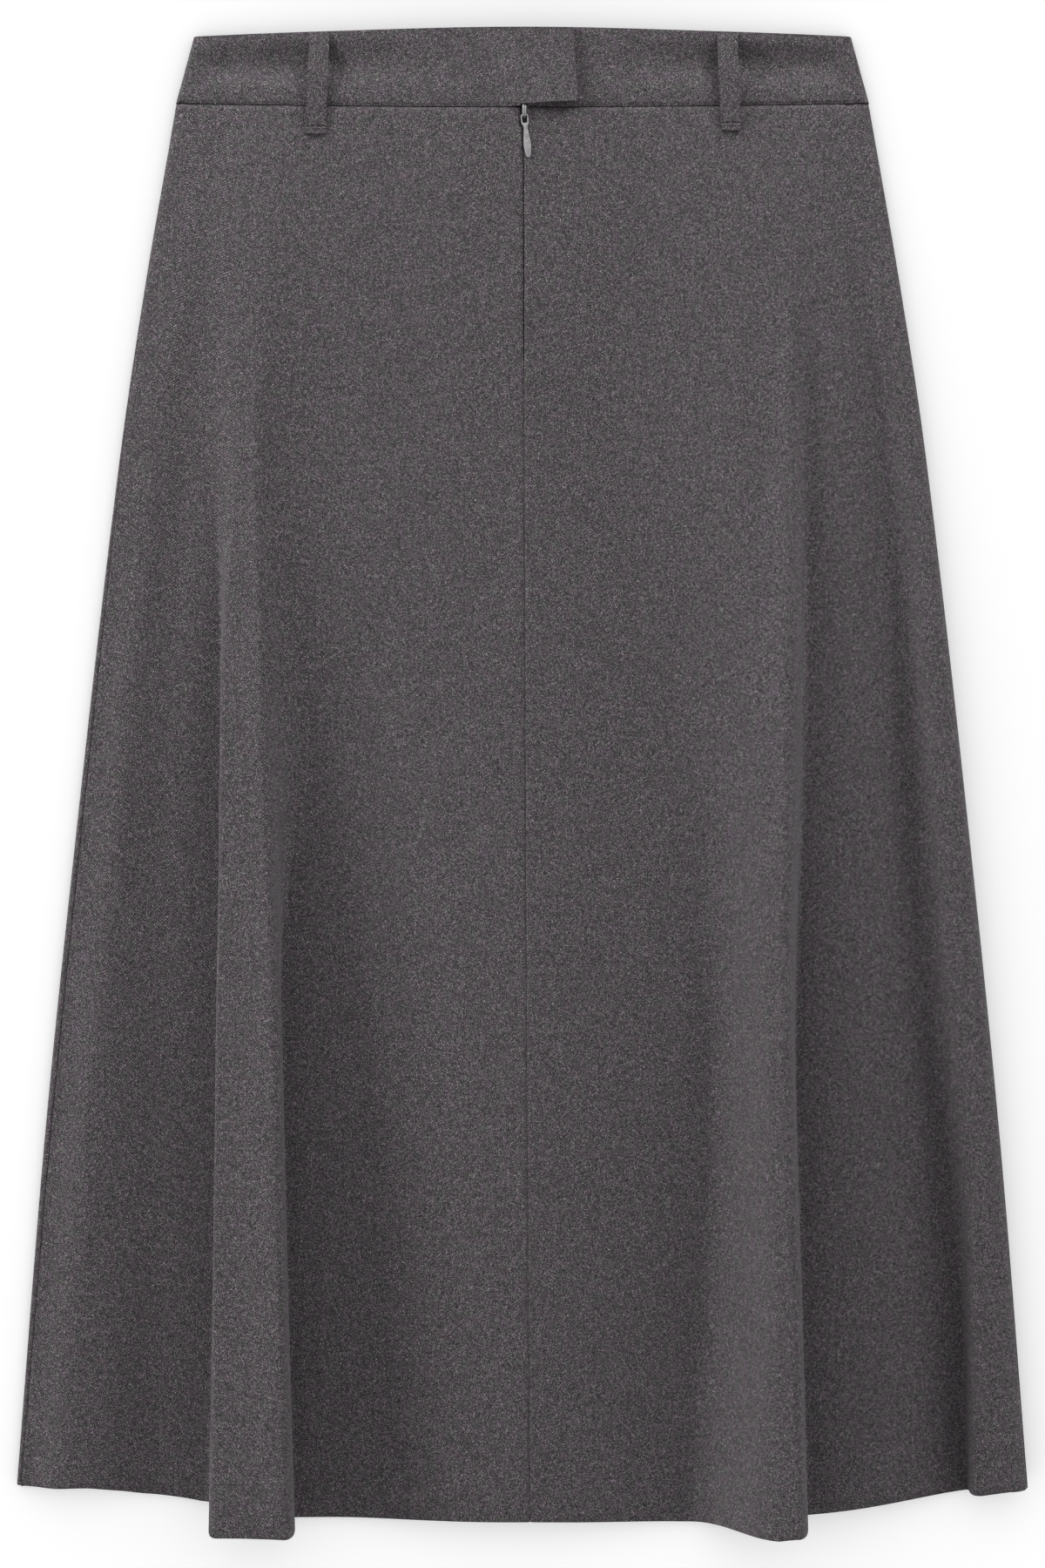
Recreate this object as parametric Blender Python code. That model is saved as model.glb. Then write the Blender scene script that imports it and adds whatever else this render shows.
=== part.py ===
"""A-line skirt laid flat on a surface with its back uppermost, in metres, +Z up.

The waist points to +Y, the hem to -Y and the back of the skirt faces +Z. The front layer lies flat on the
surface, and the back layer lies on it, with two standing folds and a rolled right side that grow towards the hem.
Every cloth piece is a thin wall: an outer face worked out from the skirt's sections, and a Solidify inwards.
"""

import math
from collections import namedtuple

import bmesh
import bpy
from mathutils import Matrix, Vector

# ---------------------------------------------------------------- driving sizes

CLOTH = 0.0012           # wall of the skirt panels
BAND_CLOTH = 0.0018      # wall of the waistband, two layers and a stiffener
SEAM_GAP = 0.0003        # space between pieces that are sewn together
BAND_SIDE_GAP = 0.0006   # the same round the tight turn at the band's two sides
LAYER_GAP = 0.0003       # space between a piece and what it lies on

WAIST_SEAM_Y = 0.3728    # waist seam at the centre back
WAIST_SEAM_SIDE = 0.0045 # how much higher that seam is at the sides
BAND_TOP_Y = 0.4164      # top edge of the band at the centre back
BAND_TOP_SIDE = -0.0020  # the top edge falls by this much to the sides
BAND_TOP_HALF = 0.1845   # half the width of the band's top edge
BAND_TURN = 0.0032       # radius of the turn at the band's two sides
FRONT_WAIST_DIP = 0.0080 # the front band's top edge is this much lower than the back's

REST_Z = 0.0034          # outer face of the back layer where it lies on the front one
WAIST_REST_Z = 0.0064    # the same at the waist, beside the folded edge
WAIST_LOFT = 0.0086      # how much the waist bulges above that at the centre
BODY_LOFT = 0.0015       # what is left of that bulge lower down
LOFT_END = 0.50          # share of the length over which the bulge goes
REST_END = 0.25

TAB_LENGTH = 0.0300      # how far the left band runs past the centre back
TAB_RAISE = 0.0023       # the tab's lower edge lies above the waist seam
TAB_LIFT = 0.0016        # the tab's lower edge stands off the band under it
TAB_RAMP = 0.0120        # length over which the left band climbs on to the right one

ZIP_LENGTH = 0.1440
ZIP_HALF_GAP = 0.00035
NOTCH_HALF_GAP = 0.0019  # the seam is open round the slider
NOTCH_LENGTH = 0.0100
NOTCH_CLOSE = 0.0020
TAPE_HALF_WIDTH = 0.0120
TAPE_CLOTH = 0.0010

LOOP_WIDTH = 0.0112
LOOP_CLOTH = 0.0014
LOOP_BULGE = 0.0018      # the belt's room under the middle of a loop
LOOP_SET_BACK = 0.0014   # a loop starts this far below the band's top edge

CREST_ARCH = 0.04        # a fold's crest is arched by this share of its height

# ---------------------------------------------------------------- tables

# Half the skirt's width at shares of the length from waist seam (0) to hem (1).
Side = namedtuple("Side", "at left right")
SIDES = (
    Side(0.000, 0.1945, 0.1945),
    Side(0.125, 0.2110, 0.2110),
    Side(0.250, 0.2254, 0.2254),
    Side(0.500, 0.2483, 0.2470),
    Side(0.750, 0.2684, 0.2664),
    Side(1.000, 0.2838, 0.2818),
)

# A standing fold at the waist, half way down and at the hem. Feet and shoulders are x positions; an ease is how far
# the curve runs level at that foot or shoulder, as a share of the wall's run.
Fold = namedtuple(
    "Fold",
    "left_foot left_shoulder right_shoulder right_foot rise"
    " left_foot_ease left_shoulder_ease right_shoulder_ease right_foot_ease",
)
LEFT_FOLD = (
    Fold(-0.1835, -0.1566, -0.1487, -0.0978, 0.000, 0.45, 0.45, 0.45, 0.45),
    Fold(-0.1855, -0.1600, -0.1475, -0.1270, 0.0150, 0.60, 0.40, 0.75, 0.60),
    Fold(-0.1899, -0.1654, -0.1360, -0.1247, 0.0450, 0.72, 0.34, 1.00, 0.60),
)
RIGHT_FOLD = (
    Fold(0.0500, 0.1270, 0.1400, 0.1740, 0.000, 0.45, 0.45, 0.45, 0.45),
    Fold(0.0950, 0.1330, 0.1455, 0.1640, 0.0150, 0.35, 0.50, 0.75, 0.60),
    Fold(0.0924, 0.1335, 0.1502, 0.1619, 0.0345, 0.12, 0.54, 0.95, 0.60),
)

# The right side rolls up beyond a crease. The roll is half an ellipse at the outline.
Roll = namedtuple("Roll", "crease shoulder reach height")
RIGHT_ROLL = (
    Roll(0.1765, 0.1830, 0.0050, 0.0064),
    Roll(0.2245, 0.2320, 0.0085, 0.0130),
    Roll(0.2487, 0.2575, 0.0120, 0.0205),
)
LEFT_TURN_REACH = 0.0050  # the left side is turned tight
LEFT_TURN_HEIGHT = 0.0064

# Side seams, as degrees above the outline on the side's turn, at the waist, half way down and at the hem.
LEFT_SEAM_DEGREES = (0, 70, 60)
RIGHT_SEAM_DEGREES = (5, 16, 24)

# Broad swells of the back layer between its folds.
Swell = namedtuple("Swell", "waist_x hem_x half_width rises")
SWELLS = (
    Swell(-0.195, -0.244, 0.040, (0.000, 0.0020, 0.0040)),
    Swell(0.000, 0.004, 0.075, (0.000, 0.0040, 0.0070)),
    Swell(0.170, 0.197, 0.036, (0.000, 0.0045, 0.0065)),
)

# Hem line in y at each foot, shoulder and seam of the back layer, left to right.
Hem = namedtuple(
    "Hem",
    "left_side left_foot_1 left_shoulder_1 right_shoulder_1 right_foot_1 centre"
    " left_foot_2 left_shoulder_2 right_shoulder_2 right_foot_2 crease shoulder right_side",
)
HEM = Hem(
    -0.3966, -0.4035, -0.4131, -0.4145, -0.4152, -0.4146,
    -0.4176, -0.4172, -0.4160, -0.4124, -0.3995, -0.3978, -0.3957,
)
FRONT_HEM_Y = -0.4090    # the front layer's hem at the centre, hidden under the back one
CENTRE_SEAM_X = (0.0005, 0.0015, 0.0041)

BeltLoop = namedtuple("BeltLoop", "name top_x foot_x foot_y")
BELT_LOOPS = (
    BeltLoop("belt_loop_left", -0.1132, -0.1154, 0.3582),
    BeltLoop("belt_loop_right", 0.1139, 0.1163, 0.3600),
)

# ---------------------------------------------------------------- mesh density

NOTCH_ROWS = (0.0, 0.004, 0.009, 0.0125, 0.0150)
BODY_ROWS = (0.04, 0.08, 0.13, 0.19, 0.26, 0.34, 0.42, 0.50, 0.58, 0.66, 0.74, 0.82, 0.89, 0.95, 1.0)
TURN_STEPS = 5
UNDER_TURN_STEPS = 8
WALL_STEPS = 8
CREST_STEPS = 4
PLAIN_STEPS = 6
BAND_STEPS = 26
BAND_ROWS = 3
SECTION_SAMPLES = 24

# ---------------------------------------------------------------- finishes

Finish = namedtuple("Finish", "colour roughness metallic")
WOOL = Finish((0.084, 0.075, 0.081, 1.0), 0.95, 0.0)
TAPE = Finish((0.020, 0.019, 0.021, 1.0), 0.90, 0.0)
ZINC = Finish((0.330, 0.320, 0.330, 1.0), 0.35, 1.0)
ENAMEL = Finish((0.290, 0.270, 0.280, 1.0), 0.40, 0.0)


def clear_scene():
    for obj in list(bpy.data.objects):
        bpy.data.objects.remove(obj, do_unlink=True)


def material(name, finish):
    made = bpy.data.materials.new(name)
    made.use_nodes = True
    shader = made.node_tree.nodes["Principled BSDF"]
    shader.inputs["Base Color"].default_value = finish.colour
    shader.inputs["Roughness"].default_value = finish.roughness
    shader.inputs["Metallic"].default_value = finish.metallic
    return made


# ---------------------------------------------------------------- shape functions


def smooth(t):
    """0 to 1 with level ends."""
    t = min(1.0, max(0.0, t))
    return t * t * (3 - 2 * t)


def mix(a, b, t):
    return a + (b - a) * t


def through(stations, at):
    """The parabola through values at the waist, half way down and at the hem."""
    waist, middle, hem = stations
    return waist * (1 - at) * (1 - 2 * at) + 4 * middle * at * (1 - at) + hem * at * (2 * at - 1)


def row_through(stations, at):
    """The same for every column of three table rows."""
    return type(stations[0])(*(through(column, at) for column in zip(*stations)))


def outline(at, side):
    """Half the skirt's width on that side: a smooth curve through the SIDES table."""
    last = len(SIDES) - 1
    i = next((n for n in range(last) if at <= SIDES[n + 1].at), last - 1)
    rows = [SIDES[max(0, min(last, n))] for n in (i - 1, i, i + 1, i + 2)]
    x0, x1, x2, x3 = (row.at for row in rows)
    y0, y1, y2, y3 = (getattr(row, side) for row in rows)
    t = (at - x1) / (x2 - x1)
    slope_1 = (y2 - y0) / (x2 - x0) * (x2 - x1)
    slope_2 = (y3 - y1) / (x3 - x1) * (x2 - x1)
    return (
        y1 * (1 + 2 * t) * (1 - t) ** 2
        + slope_1 * t * (1 - t) ** 2
        + y2 * t * t * (3 - 2 * t)
        + slope_2 * t * t * (t - 1)
    )


def base_height(x, at):
    """Outer face of the back layer without its folds."""
    half = outline(at, "left" if x < 0 else "right")
    rest = mix(WAIST_REST_Z, REST_Z, smooth(at / REST_END))
    loft = mix(WAIST_LOFT, BODY_LOFT, smooth(at / LOFT_END))
    height = rest + loft * max(0.0, 1 - (x / (half - LEFT_TURN_REACH)) ** 2)
    for swell in SWELLS:
        away = (x - mix(swell.waist_x, swell.hem_x, at)) / swell.half_width
        if abs(away) < 1:
            height += max(0.0, through(swell.rises, at)) * (1 - away * away) ** 2
    return height


def bezier(a, b, c, d, t):
    s = 1 - t
    return a * s**3 + 3 * b * s * s * t + 3 * c * s * t * t + d * t**3


def rising(foot, foot_ease, shoulder, shoulder_ease, rise, hem_foot, hem_shoulder, at):
    """The wall between a fold's foot and its shoulder, as a function of a share from the foot."""
    run = shoulder - foot

    def point(t):
        x = bezier(foot, foot + run * foot_ease, shoulder - run * shoulder_ease, shoulder, t)
        return x, base_height(x, at) + rise * smooth(t), mix(hem_foot, hem_shoulder, t * t)

    return point


def backwards(point):
    """The same span walked from its other end."""
    return lambda t: point(1 - t)


def crest(start, end, rise, hem_start, hem_end, at):
    def point(t):
        x = mix(start, end, t)
        arch = 1 + CREST_ARCH * 16 * (t * (1 - t)) ** 2
        return x, base_height(x, at) + rise * arch, mix(hem_start, hem_end, t)

    return point


def plain(start, end, hem_start, hem_end, at):
    def point(t):
        x = mix(start, end, t)
        return x, base_height(x, at), mix(hem_start, hem_end, t)

    return point


def from_turn(top_x, top_z, x, hem_top, hem_x, at):
    """Cloth that settles from the top of a turned side on to the base surface at x."""

    def point(t):
        place = mix(top_x, x, t)
        return place, mix(top_z, base_height(place, at), smooth(t)), mix(hem_top, hem_x, t)

    return point


def turn(centre_x, reach, height, sign, seam_degrees, end_degrees, hem_y):
    """Part of a turned side: half an ellipse that is height tall and reaches out from centre_x.
    Degrees run from -90 on the surface, through 0 at the outline, to 90 on top. Steps are short at the seam."""

    def point(t):
        angle = math.radians(mix(seam_degrees, end_degrees, t * t))
        x = centre_x + sign * reach * math.cos(angle)
        return x, height / 2 * (1 + math.sin(angle)), hem_y

    return point


def centre_seam(at):
    return through(CENTRE_SEAM_X, at)


def seam_half_gap(drop):
    """Half the opening at the centre back seam, at a distance below the waist seam."""
    if drop < NOTCH_LENGTH + NOTCH_CLOSE:
        return mix(NOTCH_HALF_GAP, ZIP_HALF_GAP, smooth((drop - NOTCH_LENGTH) / NOTCH_CLOSE))
    return ZIP_HALF_GAP if drop < ZIP_LENGTH else SEAM_GAP / 2


def seam_drop(at):
    return at * (WAIST_SEAM_Y - HEM.centre)


def seam_angle(reach, height):
    """Half a seam's gap as degrees on a turned side."""
    return math.degrees(SEAM_GAP / 2 / ((reach + height / 2) / 2)) * 1.3


# ---------------------------------------------------------------- sections of the skirt


def left_back_spans(at):
    """Spans of the back left panel's section, from the side seam to the centre back, with their step counts."""
    fold = row_through(LEFT_FOLD, at)
    reach, height = LEFT_TURN_REACH, LEFT_TURN_HEIGHT
    top_x = reach - outline(at, "left")
    seam = through(LEFT_SEAM_DEGREES, at) + seam_angle(reach, height)
    end = centre_seam(at) - seam_half_gap(seam_drop(at))
    return (
        (turn(top_x, reach, height, -1, seam, 90, HEM.left_side), TURN_STEPS),
        (from_turn(top_x, height, fold.left_foot, HEM.left_side, HEM.left_foot_1, at), PLAIN_STEPS),
        (rising(fold.left_foot, fold.left_foot_ease, fold.left_shoulder, fold.left_shoulder_ease,
                fold.rise, HEM.left_foot_1, HEM.left_shoulder_1, at), WALL_STEPS),
        (crest(fold.left_shoulder, fold.right_shoulder, fold.rise,
               HEM.left_shoulder_1, HEM.right_shoulder_1, at), CREST_STEPS),
        (backwards(rising(fold.right_foot, fold.right_foot_ease, fold.right_shoulder, fold.right_shoulder_ease,
                          fold.rise, HEM.right_foot_1, HEM.right_shoulder_1, at)), WALL_STEPS),
        (plain(fold.right_foot, end, HEM.right_foot_1, HEM.centre, at), PLAIN_STEPS),
    )


def right_back_spans(at):
    """Spans of the back right panel's section, from the centre back to the side seam, with their step counts."""
    fold = row_through(RIGHT_FOLD, at)
    roll = row_through(RIGHT_ROLL, at)
    top_x = outline(at, "right") - roll.reach
    seam = through(RIGHT_SEAM_DEGREES, at) + seam_angle(roll.reach, roll.height)
    start = centre_seam(at) + seam_half_gap(seam_drop(at))
    crease_z = base_height(roll.crease, at)
    lift = roll.height - crease_z

    def roll_wall(t):
        x = mix(roll.crease, roll.shoulder, t)
        return x, crease_z + lift * smooth(t), mix(HEM.crease, HEM.shoulder, t * t)

    def roll_crest(t):
        return mix(roll.shoulder, top_x, t), roll.height, mix(HEM.shoulder, HEM.right_side, t)

    return (
        (plain(start, fold.left_foot, HEM.centre, HEM.left_foot_2, at), PLAIN_STEPS),
        (rising(fold.left_foot, fold.left_foot_ease, fold.left_shoulder, fold.left_shoulder_ease,
                fold.rise, HEM.left_foot_2, HEM.left_shoulder_2, at), WALL_STEPS),
        (crest(fold.left_shoulder, fold.right_shoulder, fold.rise,
               HEM.left_shoulder_2, HEM.right_shoulder_2, at), CREST_STEPS),
        (backwards(rising(fold.right_foot, fold.right_foot_ease, fold.right_shoulder, fold.right_shoulder_ease,
                          fold.rise, HEM.right_foot_2, HEM.right_shoulder_2, at)), WALL_STEPS),
        (plain(fold.right_foot, roll.crease, HEM.right_foot_2, HEM.crease, at), PLAIN_STEPS),
        (roll_wall, PLAIN_STEPS),
        (roll_crest, CREST_STEPS // 2),
        (backwards(turn(top_x, roll.reach, roll.height, 1, seam, 90, HEM.right_side)), TURN_STEPS),
    )


def front_spans(at):
    """Spans of the front panel's section, from the right side seam under the skirt to the left one."""
    roll = row_through(RIGHT_ROLL, at)
    right_x = outline(at, "right") - roll.reach
    left_x = LEFT_TURN_REACH - outline(at, "left")
    right_seam = through(RIGHT_SEAM_DEGREES, at) - seam_angle(roll.reach, roll.height)
    left_seam = through(LEFT_SEAM_DEGREES, at) - seam_angle(LEFT_TURN_REACH, LEFT_TURN_HEIGHT)

    def flat(t):
        x = mix(right_x, left_x, t)
        side = max(x / right_x, x / left_x)
        hem_side = HEM.right_side if x > 0 else HEM.left_side
        return x, 0.0, mix(FRONT_HEM_Y, hem_side, side * side)

    return (
        (turn(right_x, roll.reach, roll.height, 1, right_seam, -90, HEM.right_side), UNDER_TURN_STEPS),
        (flat, 2 * PLAIN_STEPS),
        (backwards(turn(left_x, LEFT_TURN_REACH, LEFT_TURN_HEIGHT, -1, left_seam, -90, HEM.left_side)),
         UNDER_TURN_STEPS),
    )


def walk(spans):
    """A section's points: each span's steps, with shared ends given once."""
    points = [spans[0][0](0.0)]
    for point, steps in spans:
        points += [point(n / steps) for n in range(1, steps + 1)]
    return points


def seam_y(x, at):
    """The waist seam's y, a shallow curve that is lowest at the centre."""
    half = outline(at, "left" if x < 0 else "right")
    return WAIST_SEAM_Y + WAIST_SEAM_SIDE * (x / half) ** 2


def panel_row(spans, at):
    """One row of a panel's outer face, as points in the skirt's frame."""
    row = []
    for x, z, hem_y in walk(spans(at)):
        top = seam_y(x, at) - SEAM_GAP / 2
        row.append(Vector((x, mix(top, hem_y, at), z)))
    return row


# ---------------------------------------------------------------- cloth walls


def cloth_wall(name, rows, thickness, finish, parent):
    """A grid laid on rows of points that run from the waist to the hem, given its thickness inwards."""
    mesh = bpy.data.meshes.new(name)
    bm = bmesh.new()
    across, down = len(rows[0]) - 1, len(rows) - 1
    bmesh.ops.create_grid(bm, x_segments=across, y_segments=down, size=0.5)
    for vert in bm.verts:
        column = round((vert.co.x + 0.5) * across)
        row = round((0.5 - vert.co.y) * down)
        vert.co = rows[row][column]
    bm.to_mesh(mesh)
    bm.free()
    mesh.materials.append(finish)
    mesh.shade_smooth()
    obj = bpy.data.objects.new(name, mesh)
    bpy.context.scene.collection.objects.link(obj)
    wall = obj.modifiers.new("wall", "SOLIDIFY")
    wall.thickness = thickness
    wall.offset = -1
    wall.use_even_offset = True
    wall.use_quality_normals = True
    obj.parent = parent
    return obj


def make_panels(cloth, parent):
    all_rows = NOTCH_ROWS + BODY_ROWS
    plain_rows = (0.0,) + BODY_ROWS
    for name, spans, rows in (
        ("back_panel_left", left_back_spans, all_rows),
        ("back_panel_right", right_back_spans, all_rows),
        ("front_panel", front_spans, plain_rows),
    ):
        cloth_wall(name, [panel_row(spans, at) for at in rows], CLOTH, cloth, parent)


# ---------------------------------------------------------------- waistband


def band_half(up):
    """Half the band's width at a share of its height above the waist seam."""
    return mix(SIDES[0].left, BAND_TOP_HALF, up)


def band_top(x, up_half):
    return BAND_TOP_Y + BAND_TOP_SIDE * (x / up_half) ** 2


def band_height(x, up):
    """Outer face of the back band: the same bulge as the panels have at the waist seam."""
    return WAIST_REST_Z + WAIST_LOFT * max(0.0, 1 - (x / (band_half(up) - BAND_TURN)) ** 2)


def band_point(x, z, up, low_y, dip=0.0):
    top = band_top(x, band_half(up)) - dip
    return Vector((x, mix(low_y, top, up), z))


def band_rows():
    return [1 - n / BAND_ROWS for n in range(BAND_ROWS + 1)]


def tab_share(x):
    """0 on the left band, 1 on the tab that runs on to the right one."""
    seam = centre_seam(0.0)
    return smooth((x - seam + TAB_RAMP) / (TAB_RAMP - NOTCH_HALF_GAP))


def band_turn(sign, up, upper, count):
    """x and z round one side of the band, from its side seam to on top, or from that seam to the surface."""
    centre = sign * (band_half(up) - BAND_TURN)
    gap = math.degrees(BAND_SIDE_GAP / 2 / BAND_TURN)
    seam, end = (gap, 90) if upper else (-gap, -90)
    arc = turn(centre, BAND_TURN, 2 * BAND_TURN, sign, seam, end, 0.0)
    return [arc(n / count)[:2] for n in range(count + 1)]


def make_left_band(cloth, parent):
    """The back left band, which runs on past the centre back as a tab."""
    seam = centre_seam(0.0)
    edge = seam - NOTCH_HALF_GAP
    stops = [mix(BAND_TURN - SIDES[0].left, edge - TAB_RAMP, n / 10) for n in range(11)]
    stops += [mix(edge - TAB_RAMP, edge - 0.0012, n / 6) for n in range(1, 7)]
    stops += [edge - 0.0004, edge + 0.0004]
    stops += [mix(edge + 0.0004, seam + TAB_LENGTH, n / 5) for n in range(1, 6)]
    rows = []
    for up in band_rows():
        turned = band_turn(-1, up, True, TURN_STEPS)
        row = [band_point(x, z, up, seam_y(x, 0.0) + SEAM_GAP / 2) for x, z in turned[:-1]]
        squeeze = (band_half(up) - BAND_TURN) / (SIDES[0].left - BAND_TURN)
        for stop in stops:
            x = mix(stop * squeeze, stop, smooth((stop - stops[0]) / (edge - TAB_RAMP - stops[0])))
            on_tab = tab_share(x)
            past = smooth((x - edge + 0.0005) / 0.0010)
            lift = (BAND_CLOTH + LAYER_GAP + 0.0002) * on_tab
            lift += TAB_LIFT * (1 - up) ** 2 * smooth((x - edge) / (TAB_LENGTH / 2))
            low = seam_y(x, 0.0) + SEAM_GAP / 2 + TAB_RAISE * past
            row.append(band_point(x, band_height(x, up) + lift, up, low))
        rows.append(row)
    cloth_wall("waistband_left", rows, BAND_CLOTH, cloth, parent)


def make_right_band(cloth, parent):
    """The back right band, which ends under the tab."""
    start = centre_seam(0.0) + NOTCH_HALF_GAP + SEAM_GAP
    rows = []
    for up in band_rows():
        end = band_half(up) - BAND_TURN
        row = []
        for n in range(BAND_STEPS // 2):
            x = mix(start, end, n / (BAND_STEPS // 2))
            row.append(band_point(x, band_height(x, up), up, seam_y(x, 0.0) + SEAM_GAP / 2))
        for x, z in reversed(band_turn(1, up, True, TURN_STEPS)):
            row.append(band_point(x, z, up, seam_y(x, 0.0) + SEAM_GAP / 2))
        rows.append(row)
    cloth_wall("waistband_right", rows, BAND_CLOTH, cloth, parent)


def make_front_band(cloth, parent):
    """The front band, flat on the surface under the back ones, with its top edge lower."""
    rows = []
    for up in band_rows():
        half = band_half(up) - BAND_TURN
        outer = band_turn(1, up, False, TURN_STEPS)
        across = [(mix(half, -half, n / (BAND_STEPS // 2)), 0.0) for n in range(1, BAND_STEPS // 2)]
        inner = list(reversed(band_turn(-1, up, False, TURN_STEPS)))
        row = []
        for x, z in outer + across + inner:
            dip = FRONT_WAIST_DIP * smooth((half - abs(x)) / 0.03)
            row.append(band_point(x, z, up, seam_y(x, 0.0) + SEAM_GAP / 2, dip))
        rows.append(row)
    cloth_wall("waistband_front", rows, BAND_CLOTH, cloth, parent)


# ---------------------------------------------------------------- what lies on the panels


def panel_height(x, at):
    """Outer face of the back layer at x, read from its section. Used near the waist, where the folds are low."""
    spans = left_back_spans(at) if x < centre_seam(at) else right_back_spans(at)
    fine = [(point, SECTION_SAMPLES) for point, _ in spans]
    points = walk(fine)
    for (x0, z0, _), (x1, z1, _) in zip(points, points[1:]):
        if x0 <= x <= x1:
            return mix(z0, z1, (x - x0) / (x1 - x0))
    return base_height(x, at)


def back_height(x, y):
    """Outer face of the band or of a back panel near the waist."""
    top = seam_y(x, 0.0)
    if y > top:
        up = (y - top) / (band_top(x, BAND_TOP_HALF) - top)
        return band_height(x, min(1.0, up))
    return panel_height(x, (top - y) / (top - HEM.centre))


def make_belt_loops(cloth, parent):
    """Each loop is a strip from the band's top edge to just under the waist seam, with room for a belt behind it."""
    across, along = 3, 12
    for loop in BELT_LOOPS:
        top_y = band_top(loop.top_x, BAND_TOP_HALF) - LOOP_SET_BACK
        rows = []
        for n in range(along + 1):
            t = n / along
            y = mix(top_y, loop.foot_y, t)
            middle = mix(loop.top_x, loop.foot_x, t)
            ends = [middle + LOOP_WIDTH * (m / across - 0.5) for m in range(across + 1)]
            under = max(back_height(x, y + step) for x in ends for step in (-0.002, 0.0, 0.002))
            z = under + LAYER_GAP + LOOP_CLOTH + LOOP_BULGE * math.sin(math.pi * t) ** 2
            rows.append([Vector((x, y, z)) for x in ends])
        cloth_wall(loop.name, rows, LOOP_CLOTH, cloth, parent)


def make_zip_tape(tape, parent):
    """The zip's tape under the centre back seam, made from the panels' points moved in by their thickness."""
    length = seam_drop(1.0)
    rows = []
    steps = 8
    for n in range(steps + 1):
        at = (0.0006 + (ZIP_LENGTH + 0.006) * n / steps) / length
        row = []
        for m in (-1.0, -0.5, 0.0, 0.5, 1.0):
            x = centre_seam(at) + m * TAPE_HALF_WIDTH
            z = base_height(x, at) - CLOTH - LAYER_GAP
            row.append(Vector((x, mix(seam_y(x, at), HEM.centre, at), z)))
        rows.append(row)
    cloth_wall("zip_tape", rows, TAPE_CLOTH, tape, parent)


# ---------------------------------------------------------------- zip slider and pull

SLIDER_TOP_Y = 0.3744      # just under the tab's lower edge
SLIDER_HALF_WIDTH = 0.0012
SLIDER_LENGTH = 0.0078
SLIDER_CROWN = 0.0022      # height above the cloth
SLIDER_DEPTH = CLOTH       # its foot stands in the open seam, on the tape
PIVOT_FROM_TOP = 0.0061
PIVOT_Z = 0.0008           # pivot above the cloth
PULL_TURN = math.radians(6)  # the pull hangs a little to the right
TUNNEL_HALF = 0.0009
TUNNEL_TOP = 0.0016
EYE_HALF_WIDTH = 0.0024
EYE_BAR = 0.0008
EYE_LENGTH = 0.0058
PULL_LENGTH = 0.0239
PULL_THICKNESS = 0.0009

# Half the pull's width at distances from its pivot.
Pull = namedtuple("Pull", "along half_width")
PULL_OUTLINE = (
    Pull(-0.0005, 0.0019),
    Pull(0.0000, EYE_HALF_WIDTH),
    Pull(0.0046, EYE_HALF_WIDTH),
    Pull(0.0060, 0.0011),
    Pull(0.0080, 0.0009),
    Pull(0.0110, 0.0014),
    Pull(0.0150, 0.0020),
    Pull(0.0180, 0.0021),
    Pull(0.0210, 0.0017),
    Pull(0.0230, 0.0010),
    Pull(PULL_LENGTH, 0.0004),
)


def zip_frame():
    """The slider's frame: its origin on the cloth under the pivot, its y up the seam along the cloth."""
    pivot_y = SLIDER_TOP_Y - PIVOT_FROM_TOP
    x = centre_seam(0.0)
    low = back_height(x, pivot_y - PULL_LENGTH)
    here = back_height(x, pivot_y)
    tilt = math.atan2(here - low, PULL_LENGTH)
    return Matrix.Translation((x, pivot_y, here)) @ Matrix.Rotation(tilt, 4, "X")


def block(name, low, high):
    """A box between two corners."""
    mesh = bpy.data.meshes.new(name)
    bm = bmesh.new()
    bmesh.ops.create_cube(bm, size=1.0)
    size = Vector(high) - Vector(low)
    bmesh.ops.scale(bm, vec=size, verts=bm.verts)
    bmesh.ops.translate(bm, vec=(Vector(low) + Vector(high)) / 2, verts=bm.verts)
    bm.to_mesh(mesh)
    bm.free()
    obj = bpy.data.objects.new(name, mesh)
    bpy.context.scene.collection.objects.link(obj)
    return obj


def cut(obj, cutter):
    cutter.hide_render = True
    cutter.display_type = "WIRE"
    hole = obj.modifiers.new("cut", "BOOLEAN")
    hole.operation = "DIFFERENCE"
    hole.object = cutter


def round_edges(obj, width, segments):
    edges = obj.modifiers.new("round", "BEVEL")
    edges.width = width
    edges.segments = segments
    edges.limit_method = "ANGLE"
    edges.angle_limit = math.radians(40)


def make_slider(metal, parent):
    """The slider's crown with the tunnel that the pull's bar turns in, and its foot in the open seam."""
    frame = zip_frame()
    top = PIVOT_FROM_TOP
    slider = block(
        "zip_slider",
        (-SLIDER_HALF_WIDTH, top - SLIDER_LENGTH, -SLIDER_DEPTH),
        (SLIDER_HALF_WIDTH, top, SLIDER_CROWN),
    )
    round_edges(slider, 0.0005, 2)
    tunnel = block(
        "tunnel_cutter",
        (-3 * SLIDER_HALF_WIDTH, -TUNNEL_HALF, 0.0),
        (3 * SLIDER_HALF_WIDTH, TUNNEL_HALF, TUNNEL_TOP),
    )
    tunnel.matrix_world = frame
    cut(slider, tunnel)
    slider.matrix_world = frame
    slider.data.materials.append(metal)
    slider.parent = parent


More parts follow.
